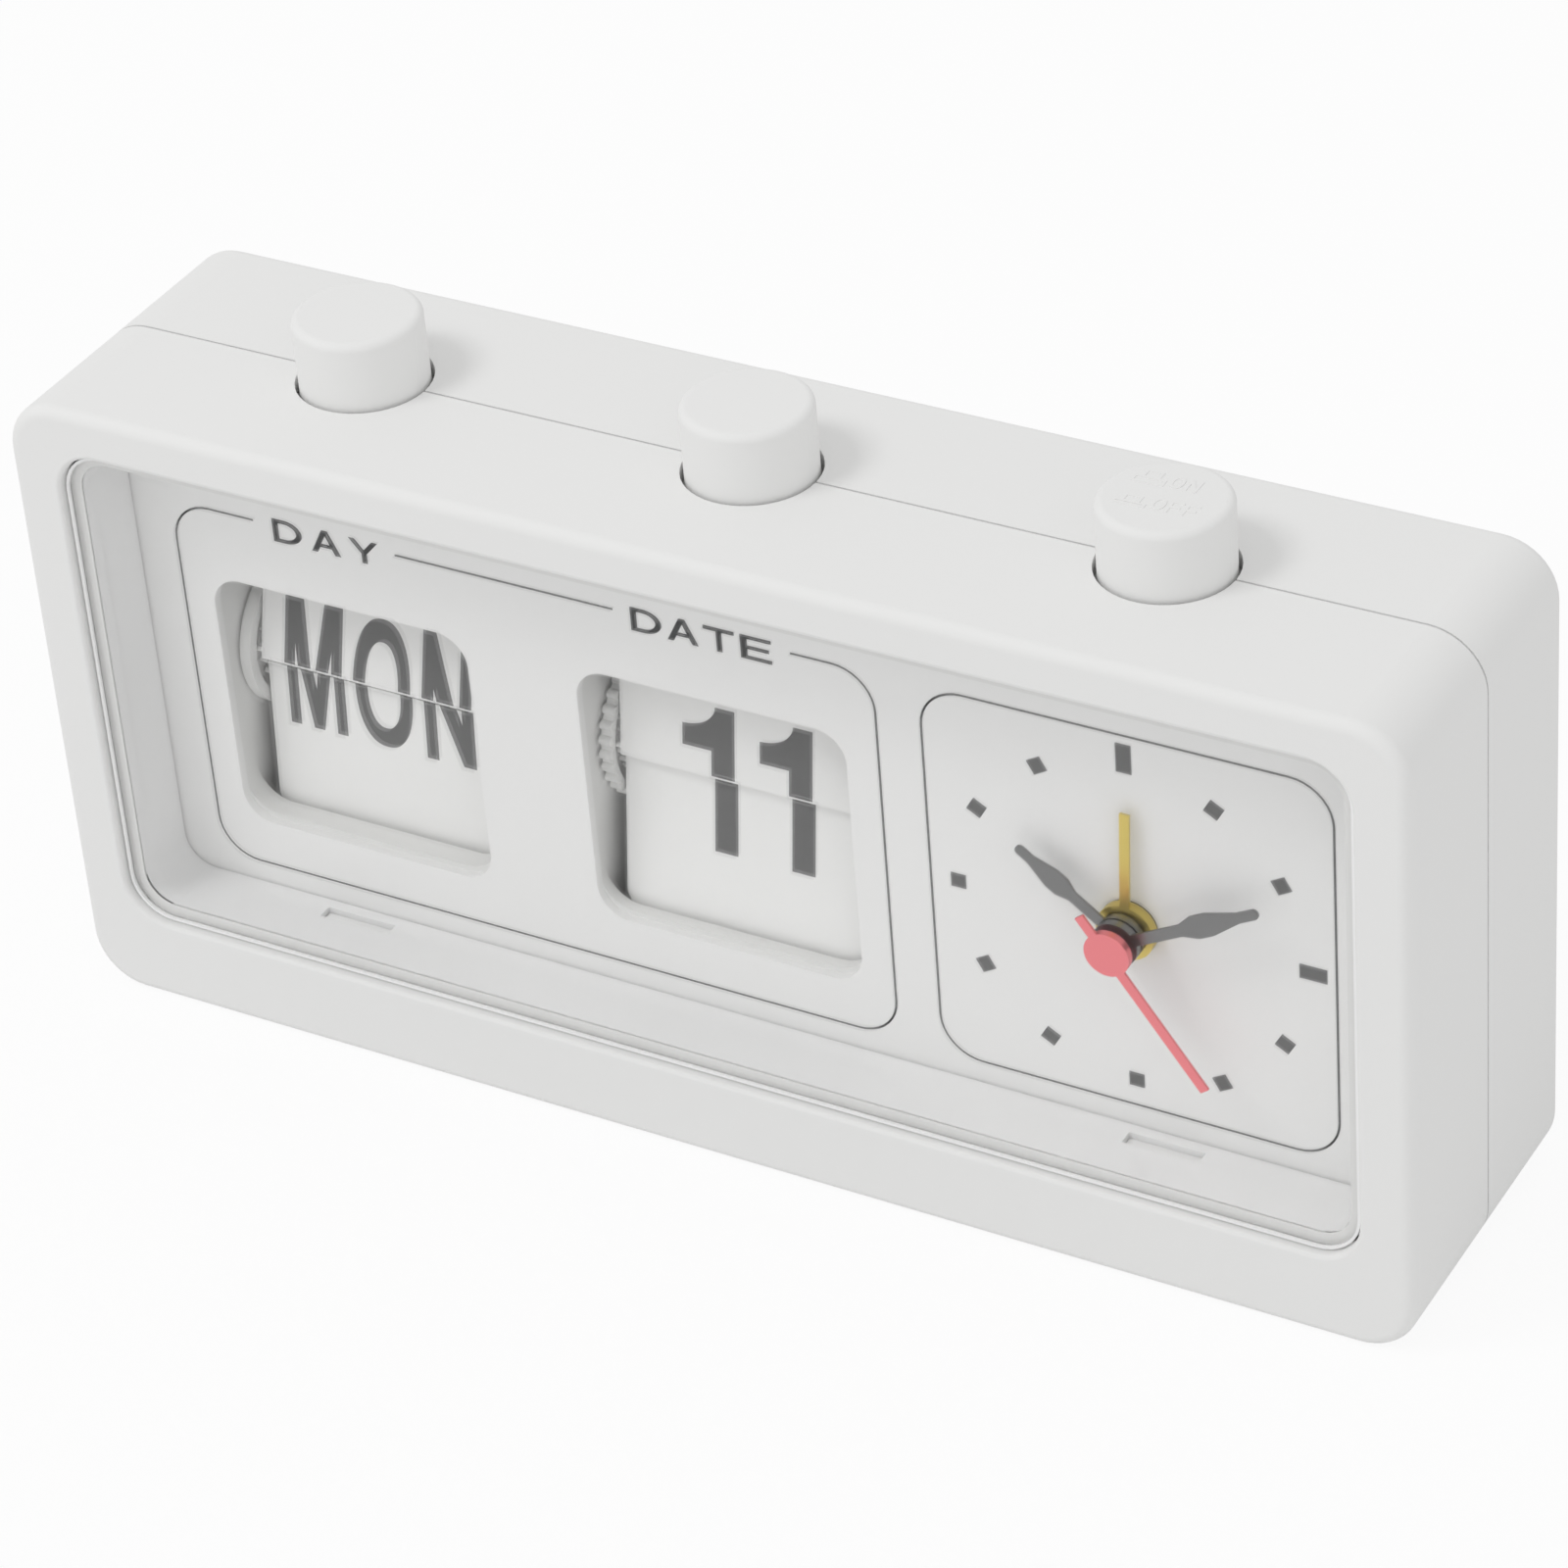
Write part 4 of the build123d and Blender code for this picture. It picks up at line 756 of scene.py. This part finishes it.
@dataclass
class CaseBody:
    """Shells, lens, buttons, screws and battery door, with the marks moulded on the alarm button."""

    mark_height: float = 0.08
    mark_stroke: float = 0.32
    letter_size: tuple[float, float] = (1.6, 2.5)
    letter_pitch: float = 1.95
    letter_left: float = 52.9
    on_foot: float = 1.85
    off_foot: float = -3.0
    icon_left: float = 48.6
    icon_right: float = 52.3
    on_icon: tuple[float, float] = (1.0, 1.4)
    off_icon: tuple[float, float] = (0.5, 1.3)
    cap_inset: float = 0.9
    screw_places: tuple[float, ...] = (-70.0, 0.0, 70.0)
    slot_length: float = 3.0
    slot_width: float = 0.55
    slot_low: float = -0.02
    slot_heights: tuple[float, float] = (0.02, 0.03)
    edge_depth: float = 0.65
    edge_inset: float = 1.45
    edge_corner: float = 5.85
    # Painted highlight: a white line along the lens's outer edge.
    highlight_inset: float = 0.3
    highlight_width: float = 0.36
    highlight_height: float = 0.35
    border_inset: float = 0.9
    border_width: float = 1.6
    border_low: float = -0.8
    border_high: float = -0.6
    spring_places: tuple[tuple[str, float], ...] = (("day", -53.6), ("date", 0.0), ("alarm", 53.6))
    spring_foot: float = 79.0
    spring_height: float = 15.2
    spring_radius: float = 5.2
    spring_wire: float = 0.35
    spring_turns: int = 6

    def build(self) -> None:
        """Build the lens border and its painted highlight, the return springs, the moulded marks and the
        black crosses of painted shade on the screw heads.
        """
        self.lens_edges()
        self.springs()
        self.marks()

    def lens_edges(self) -> None:
        """Build the white border round the lens, and a glossy white line on its outer edge that is a painted
        highlight.
        """
        border = self.edge_ring(self.border_inset, self.border_width, self.border_low, self.border_high)
        piece("lens_border", border, "case", INNER_WHITE)
        # A white line on the lens's outer edge: a painted highlight.
        bright = self.edge_ring(self.highlight_inset, self.highlight_width, 0.0, self.highlight_height)
        piece("lens_painted_highlight", bright, "case", LENS_HIGHLIGHT_PAINT)

    def edge_ring(self, inset: float, width: float, low: float, high: float) -> Solid:
        """Band round the edge of the lens.

        Args:
            inset: Distance of its middle from the edge.
            width: Its width.
            low: Height of its back before the edge's face.
            high: Height of its front before the edge's face.

        Returns:
            A line of that width along a rectangle with round corners.
        """
        least, most = node_box("lens")
        front = Placement((0, least[1] + self.edge_depth, 0), (1, 0, 0), (0, 0, 1))
        starts, ends = least + self.edge_inset + inset, most - self.edge_inset - inset
        loop = round_box((starts[0], ends[0]), (starts[2], ends[2]), self.edge_corner - inset)
        return line(loop, width, front, low, high, True)

    def springs(self) -> None:
        """Build the return springs in place of the frame's own, each riding on its button."""
        for name, x in self.spring_places:
            foot = (x, 0.0, self.spring_foot)
            wound = coil(foot, self.spring_radius, self.spring_wire, self.spring_height, self.spring_turns)
            made = piece(f"{name}_spring_coil", wound, f"{name}_press", STEEL)
            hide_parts(f"{name}_return_spring")
            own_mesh(made)

    def marks(self) -> None:
        """Build the marks moulded on the alarm button, and black crosses on the screw heads that are painted
        shade of their slots.
        """
        top = Placement((0, 0, node_box("alarm_button")[1][2]), (1, 0, 0), (0, 1, 0))
        words = (("ON", self.on_foot), ("OFF", self.off_foot))
        letters = [
            LETTERS[letter].solid(
                top, self.letter_left + place * self.letter_pitch, foot, self.letter_size, self.mark_height
            )
            for word, foot in words
            for place, letter in enumerate(word)
        ]
        icons = [
            line(path, self.mark_stroke, top, -self.mark_height / SUNK_PARTS, self.mark_height, closed)
            for foot, heights in ((self.on_foot, self.on_icon), (self.off_foot, self.off_icon))
            for path, closed in zip(self.icon(foot, *heights), (True, False))
        ]
        piece("alarm_button_words", Solid.joined(letters), "alarm_press", CASE_WHITE)
        piece("alarm_button_signs", Solid.joined(icons), "alarm_press", CASE_WHITE)
        # Black crosses a little proud of the screw heads: painted shade where the slots would be recessed.
        low, high = node_box("case_screws")
        back = Placement((0, high[1], (low[2] + high[2]) / 2), (-1, 0, 0), (0, 0, 1))
        bar = shape((-0.5, -0.5), (0.5, -0.5), (0.5, 0.5), (-0.5, 0.5))
        sizes = ((self.slot_length, self.slot_width), (self.slot_width, self.slot_length))
        slots = [
            prism(bar * size - (x, 0), back, self.slot_low, height)
            for x in self.screw_places
            for size, height in zip(sizes, self.slot_heights)
        ]
        piece("screw_slot_painted_shade", Solid.joined(slots), "case", INNER_BLACK)

    def icon(self, foot: float, base: float, plunger: float) -> tuple[np.ndarray, np.ndarray]:
        """Outline of a push switch: a flat box, and a narrower box on it that is open below.

        Args:
            foot: Its foot.
            base: Height of the flat box.
            plunger: Height of the box on it.

        Returns:
            The corner points of the two boxes.
        """
        left, right, inset = self.icon_left, self.icon_right, self.cap_inset
        shoulder, tip = foot + base, foot + base + plunger
        start = shoulder + self.mark_stroke / 2
        low = shape((left, foot), (right, foot), (right, shoulder), (left, shoulder))
        high = shape((left + inset, start), (left + inset, tip), (right - inset, tip), (right - inset, start))
        return low, high

    def dress(self) -> None:
        """Dress the shells, the buttons, the door, the lens, the screws and the alarm's switch and buzzer."""
        dress(CASE_WHITE, "front_shell", "rear_shell", "battery_door")
        dress(CASE_WHITE, "day_button", "date_button", "alarm_button")
        dress(CLEAR, "lens")
        dress(STEEL, "case_screws", "dial_screws", "unit_screws")
        dress(INNER_WHITE, "alarm_push_rod")
        dress(INNER_BLACK, "alarm_switch", "buzzer")


@dataclass
class DialFace:
    """Dial plate with its printed borders, labels and hour marks."""

    film: float = 0.03
    line_width: float = 0.27
    corner: float = 5.5
    border_low: float = 16.5
    border_high: float = 69.3
    left_panel: tuple[float, float] = (-78.1, 19.9)
    right_panel: tuple[float, float] = (25.9, 78.1)
    day_gap: tuple[float, float] = (-66.0, -45.5)
    date_gap: tuple[float, float] = (-15.0, 9.0)
    label_foot: float = 67.0
    label_size: tuple[float, float] = (4.2, 3.3)
    day_label: tuple[float, float] = (-63.2, -47.9)
    date_label: tuple[float, float] = (-12.6, 6.5)
    mark_radius: float = 22.43
    mark_size: float = 2.0
    long_marks: dict[int, float] = field(default_factory=lambda: {0: 4.0, 3: 3.5})

    @property
    def place(self) -> Placement:
        """Frame of the plate's front, seen from the viewer."""
        return Placement((0, node_box("dial_plate")[0][1], 0), (1, 0, 0), (0, 0, 1))

    def build(self) -> None:
        """Build every print on the plate."""
        low = -self.film / SUNK_PARTS
        lines = [line(path, self.line_width, self.place, low, self.film) for path in self.broken_border()]
        piece("left_border", Solid.joined(lines), "case", PRINT_BLACK)
        loop = round_box(self.right_panel, (self.border_low, self.border_high), self.corner)
        closed = line(loop, self.line_width, self.place, low, self.film, True)
        piece("right_border", closed, "case", PRINT_BLACK)
        piece("day_label", self.label("DAY", self.day_label), "case", PRINT_BLACK)
        piece("date_label", self.label("DATE", self.date_label), "case", PRINT_BLACK)
        marks = Solid.joined([self.mark(hour) for hour in range(HOURS)])
        piece("hour_marks", marks, "case", PRINT_GREY)

    def broken_border(self) -> tuple[np.ndarray, np.ndarray]:
        """Left border, open where the labels stand in it.

        Returns:
            The long path round the panel, and the short one between the labels.
        """
        high = self.border_high
        around = round_box(self.left_panel, (self.border_low, high), self.corner)
        long_way = np.vstack([shape((self.date_gap[1], high)), around, shape((self.day_gap[0], high))])
        return long_way, shape((self.day_gap[1], high), (self.date_gap[0], high))

    def label(self, word: str, span: tuple[float, float]) -> Solid:
        """Word over a window, its letters spread evenly over a span.

        Args:
            word: The word.
            span: Left and right ends.

        Returns:
            The skin of all its letters.
        """
        pitch = (span[1] - span[0] - self.label_size[0]) / (len(word) - 1)
        lefts = [span[0] + index * pitch for index in range(len(word))]
        return Solid.joined(
            [
                LETTERS[letter].solid(self.place, left, self.label_foot, self.label_size, self.film)
                for letter, left in zip(word, lefts)
            ]
        )

    def mark(self, hour: int) -> Solid:
        """Mark of one hour: a square turned to point at the middle, longer outwards at twelve and three.

        Args:
            hour: The hour.

        Returns:
            Its slab.
        """
        turn = math.radians(360 / HOURS * hour)
        half = self.mark_size / 2
        inner = self.mark_radius - half
        outer = inner + self.long_marks.get(hour, self.mark_size)
        box = shape((-half, inner), (half, inner), (half, outer), (-half, outer))
        spin = np.array([[math.cos(turn), -math.sin(turn)], [math.sin(turn), math.cos(turn)]])
        middle = pivot("minute_turn")[[0, 2]]
        return prism(box @ spin + middle, self.place, -self.film / SUNK_PARTS, self.film)

    def dress(self) -> None:
        """Dress the plate."""
        dress(DIAL_WHITE, "dial_plate")


@dataclass
class LeafUnit:
    """One flip unit: its leaves with the print across a pair of them, and the works behind."""

    name: str
    leaf_count: int
    front_angle: float
    hang_angle: float
    text: str
    spans: tuple[tuple[float, float], ...]
    reaches: dict[Half, float]
    lower_shift: float
    leaf_pivot_radius: float = 7.2
    flip_pivot_radius: float = 8.2
    flip_tail: float = 1.2
    leaf_half_thickness: float = 0.125
    film: float = 0.03
    split_gap: float = 0.25
    cut_reach: float = 1e-4

    @property
    def pitch(self) -> float:
        """Angle from one leaf to the next, in degrees."""
        return 360 / self.leaf_count

    def leaf(self, half: Half) -> Placement:
        """Frame of the front face of one of the two leaves that show, with its origin on the split line.

        Args:
            half: Which of the two leaves.

        Returns:
            The frame: the pivot is at half a pitch above or below the drum's front, and up leans back by the
            leaf's angle.
        """
        turn = math.radians(half.value * self.pitch / 2)
        if half is Half.UPPER:
            radius, lean, slip = self.flip_pivot_radius, math.radians(self.front_angle), -self.flip_tail
        else:
            radius = self.leaf_pivot_radius
            lean = math.radians(self.hang_angle * (1 - self.pitch / 360))
            slip = 0.0
        up = np.array([0, math.sin(lean), math.cos(lean)])
        drum = pivot(f"{self.name}_index") * (0, 1, 1)
        hinge = drum + radius * np.array([0, -math.cos(turn), math.sin(turn)])
        face = hinge + slip * up + self.leaf_half_thickness * np.cross((1, 0, 0), up)
        return Placement(tuple(face), (1, 0, 0), tuple(up))

    def build(self) -> None:
        """Build the print: each half is the whole text on its leaf's frame, cut at the split line."""
        for half, body in ((Half.UPPER, f"{self.name}_leaf"), (Half.LOWER, "case")):
            place = self.leaf(half)
            reach = self.reaches[half]
            shift = self.lower_shift if half is Half.LOWER else 0.0
            letters = [
                LETTERS[letter].solid(place, left + shift, -reach, (right - left, 2 * reach), self.film)
                for letter, (left, right) in zip(self.text, self.spans)
            ]
            made = piece(f"{self.name}_print_{half.name.lower()}", Solid.joined(letters), body, PRINT_GREY)
            self.cut(made.data, place, half)

    def cut(self, mesh: bpy.types.Mesh, place: Placement, half: Half) -> None:
        """Keep one half of a print and close the cut. The upper half ends a gap above its leaf's edge.

        Args:
            mesh: The print's mesh.
            place: Frame of its leaf, with its origin on the split line.
            half: The half to keep.
        """
        gap = self.split_gap if half is Half.UPPER else 0.0
        skin = bmesh.new()
        skin.from_mesh(mesh)
        bmesh.ops.bisect_plane(
            skin,
            geom=skin.verts[:] + skin.edges[:] + skin.faces[:],
            plane_co=(Vector(place.origin) + gap * Vector(place.up)) * MM,
            plane_no=Vector(place.up) * -half.value,
            clear_outer=True,
            dist=self.cut_reach * MM,
        )
        bmesh.ops.holes_fill(skin, edges=[edge for edge in skin.edges if edge.is_boundary])
        bmesh.ops.recalc_face_normals(skin, faces=skin.faces)
        skin.to_mesh(mesh)
        skin.free()

    def dress(self) -> None:
        """Dress the leaves and the works of the unit."""
        dress(LEAF_WHITE, f"{self.name}_leaf_pack", f"{self.name}_flip_leaf")
        works = ("frame", "drum_disc", "star_wheel", "push_rod")
        dress(INNER_WHITE, *(f"{self.name}_{part}" for part in works))
        dress(STEEL, *(f"{self.name}_{part}" for part in ("drum_axle", "detent_spring", "pawl")))


@dataclass
class Movement:
    """Quartz movement, its hands and its two setting knobs."""

    knob_bodies: tuple[tuple[str, str], ...] = (("time", "motion"), ("alarm", "alarm_set"))
    arrow_radius: float = 2.7
    arrow_width: float = 0.5
    arrow_height: float = 0.25
    arrow_start: float = 200.0
    arrow_end: float = -20.0
    arrow_points: int = 28
    head_half: float = 0.9
    head_length: float = 1.44

    def build(self) -> None:
        """Build a round arrow on the end of each knob: an arc of a line, and a head at its end."""
        sweep = arc((0, 0), self.arrow_radius, self.arrow_start, self.arrow_end, self.arrow_points)
        tip = sweep[-1]
        out = tip / self.arrow_radius
        along = np.array([out[1], -out[0]])
        side = out * self.head_half
        wedge = np.array([tip + side, tip - side, tip + along * self.head_length])
        low, high = -self.arrow_height / SUNK_PARTS, self.arrow_height
        for name, body in self.knob_bodies:
            least, most = node_box(f"{name}_knob")
            middle = (least + most) / 2
            place = Placement((middle[0], most[1], middle[2]), (-1, 0, 0), (0, 0, 1))
            curve = line(sweep, self.arrow_width, place, low, high)
            arrow = Solid.joined([curve, prism(wedge, place, low, high)])
            piece(f"{name}_knob_arrow", arrow, body, INNER_BLACK)

    def dress(self) -> None:
        """Dress the wheels, the motor, the hands and the knobs."""
        dress(INNER_BLACK, "movement_case", "movement_cover", "time_knob", "alarm_knob")
        dress(BRASS, "alarm_wheel", "hour_wheel", "centre_wheel")
        dress(INNER_WHITE, "second_wheel", "third_wheel", "idler_wheel", "motion_wheel", "alarm_pinion")
        dress(STEEL, "rotor", "stator")
        dress(COPPER, "coil")
        dress(BOARD, "circuit_board")
        dress(HAND_GREY, "hour_hand", "minute_hand")
        dress(HAND_RED, "second_hand")
        dress(HAND_YELLOW, "alarm_hand")


@dataclass
class PowerBay:
    """Cell and the contacts that hold it."""

    def dress(self) -> None:
        """Dress the cell and its contacts."""
        dress(SLEEVE, "cell")
        dress(STEEL, "plate_contact", "spring_contact")


@dataclass
class Studio:
    """Pale floor, soft light and the camera, with places and sizes in metres."""

    floor_half: float = 4.0
    floor_colour: Colour = (0.9, 0.9, 0.9)
    floor_roughness: float = 0.9
    floor_glow: float = 0.9
    ambient: float = 0.70
    key_place: Point = (-0.68, -0.74, 1.45)
    key_size: float = 0.55
    key_power: float = 6.3
    fill_place: Point = (1.2, -1.0, 0.9)
    fill_size: float = 1.4
    fill_power: float = 1.3
    eye: Point = (0.301217, -0.483720, 0.434233)
    aim: Point = (0.000683, 0.0, 0.042329)
    roll: float = -4.857
    lens: float = 131.59
    sensor: float = 36.0

    def build(self) -> None:
        """Build the floor, the world, the lamps and the camera."""
        scene = bpy.context.scene
        scene.view_settings.view_transform = "Standard"
        self.floor()
        self.world(scene)
        self.lamp("key", self.key_place, self.key_size, self.key_power)
        self.lamp("fill", self.fill_place, self.fill_size, self.fill_power)
        self.camera(scene)

    @staticmethod
    def seen(shading: Shading) -> bpy.types.NodeSocket:
        """Say whether a ray comes from the camera, a reflection or a clear piece.

        Args:
            shading: Nodes of the material or the world.

        Returns:
            The socket: 1 for such a ray and 0 for light that falls on the object.
        """
        path = shading.add("ShaderNodeLightPath", {}).outputs
        either = shading.math("MAXIMUM", path["Is Camera Ray"], path["Is Glossy Ray"])
        return shading.math("MAXIMUM", either, path["Is Transmission Ray"])

    def floor(self) -> None:
        """Lay the floor: a flat square that glows white to the camera and still takes the object's shadow."""
        half = self.floor_half
        corners = [(-half, -half, 0), (half, -half, 0), (half, half, 0), (-half, half, 0)]
        mesh = bpy.data.meshes.new("floor")
        mesh.from_pydata(corners, [], [(0, 1, 2, 3)])
        floor = bpy.data.objects.new("floor", mesh)
        bpy.context.scene.collection.objects.link(floor)
        made = bpy.data.materials.new("floor_white")
        made.use_nodes = True
        shading, nodes = Shading(made.node_tree), made.node_tree.nodes
        paint = nodes["Principled BSDF"]
        shading.feed(paint.inputs["Base Color"], self.floor_colour)
        shading.feed(paint.inputs["Roughness"], self.floor_roughness)
        shading.feed(paint.inputs["Specular IOR Level"], 0.0)
        glow = shading.add("ShaderNodeEmission", {"Color": WHITE})
        share = shading.math("MULTIPLY", self.seen(shading), self.floor_glow)
        mix = shading.add("ShaderNodeMixShader", {"Fac": share})
        shading.feed(mix.inputs[1], paint.outputs["BSDF"])
        shading.feed(mix.inputs[2], glow.outputs["Emission"])
        shading.feed(nodes["Material Output"].inputs["Surface"], mix.outputs["Shader"])
        mesh.materials.append(made)

    def world(self, scene: bpy.types.Scene) -> None:
        """Set the world: white to the camera, and an even soft light on the object.

        Args:
            scene: The scene.
        """
        world = bpy.data.worlds.new("studio")
        world.use_nodes = True
        scene.world = world
        shading, back = Shading(world.node_tree), world.node_tree.nodes["Background"]
        shading.feed(back.inputs["Color"], WHITE)
        shading.feed(back.inputs["Strength"], shading.between(self.seen(shading), self.ambient, 1.0))

    def lamp(self, name: str, place: Point, size: float, power: float) -> None:
        """Hang a square lamp that points at the object.

        Args:
            name: Its name.
            place: Where it hangs.
            size: Its side.
            power: Its power in watts.
        """
        data = bpy.data.lights.new(name, "AREA")
        data.energy = power
        data.size = size
        lamp = bpy.data.objects.new(name, data)
        lamp.location = place
        lamp.rotation_euler = (Vector(self.aim) - Vector(place)).to_track_quat("-Z", "Y").to_euler()
        bpy.context.scene.collection.objects.link(lamp)

    def camera(self, scene: bpy.types.Scene) -> None:
        """Set the camera at the photograph's viewing angle.

        Args:
            scene: The scene.
        """
        data = bpy.data.cameras.new("camera")
        data.lens = self.lens
        data.sensor_width = self.sensor
        camera = bpy.data.objects.new("camera", data)
        look = (Vector(self.aim) - Vector(self.eye)).to_track_quat("-Z", "Y")
        turn = look @ Quaternion((0, 0, 1), math.radians(self.roll))
        camera.matrix_world = Matrix.Translation(self.eye) @ turn.to_matrix().to_4x4()
        scene.collection.objects.link(camera)
        scene.camera = camera


def main() -> None:
    """Build and dress every sub-assembly, and light it."""
    logging.basicConfig(level=logging.INFO, format="%(name)s: %(message)s")
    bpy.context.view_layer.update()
    assemblies = [
        CaseBody(),
        DialFace(),
        LeafUnit(
            name="day",
            leaf_count=21,
            front_angle=14.0,
            hang_angle=4.5,
            text="MON",
            spans=((-68.3, -59.8), (-58.1, -49.7), (-48.0, -40.8)),
            reaches={Half.UPPER: 9.3, Half.LOWER: 8.1},
            lower_shift=-0.6,
        ),
        LeafUnit(
            name="date",
            leaf_count=31,
            front_angle=8.0,
            hang_angle=8.5,
            text="11",
            spans=((-10.7, -3.5), (0.0, 7.2)),
            reaches={Half.UPPER: 9.6, Half.LOWER: 10.4},
            lower_shift=-0.2,
        ),
        Movement(),
    ]
    for assembly in assemblies:
        assembly.build()
        assembly.dress()
    PowerBay().dress()
    Studio().build()


if __name__ == "__main__":
    main()
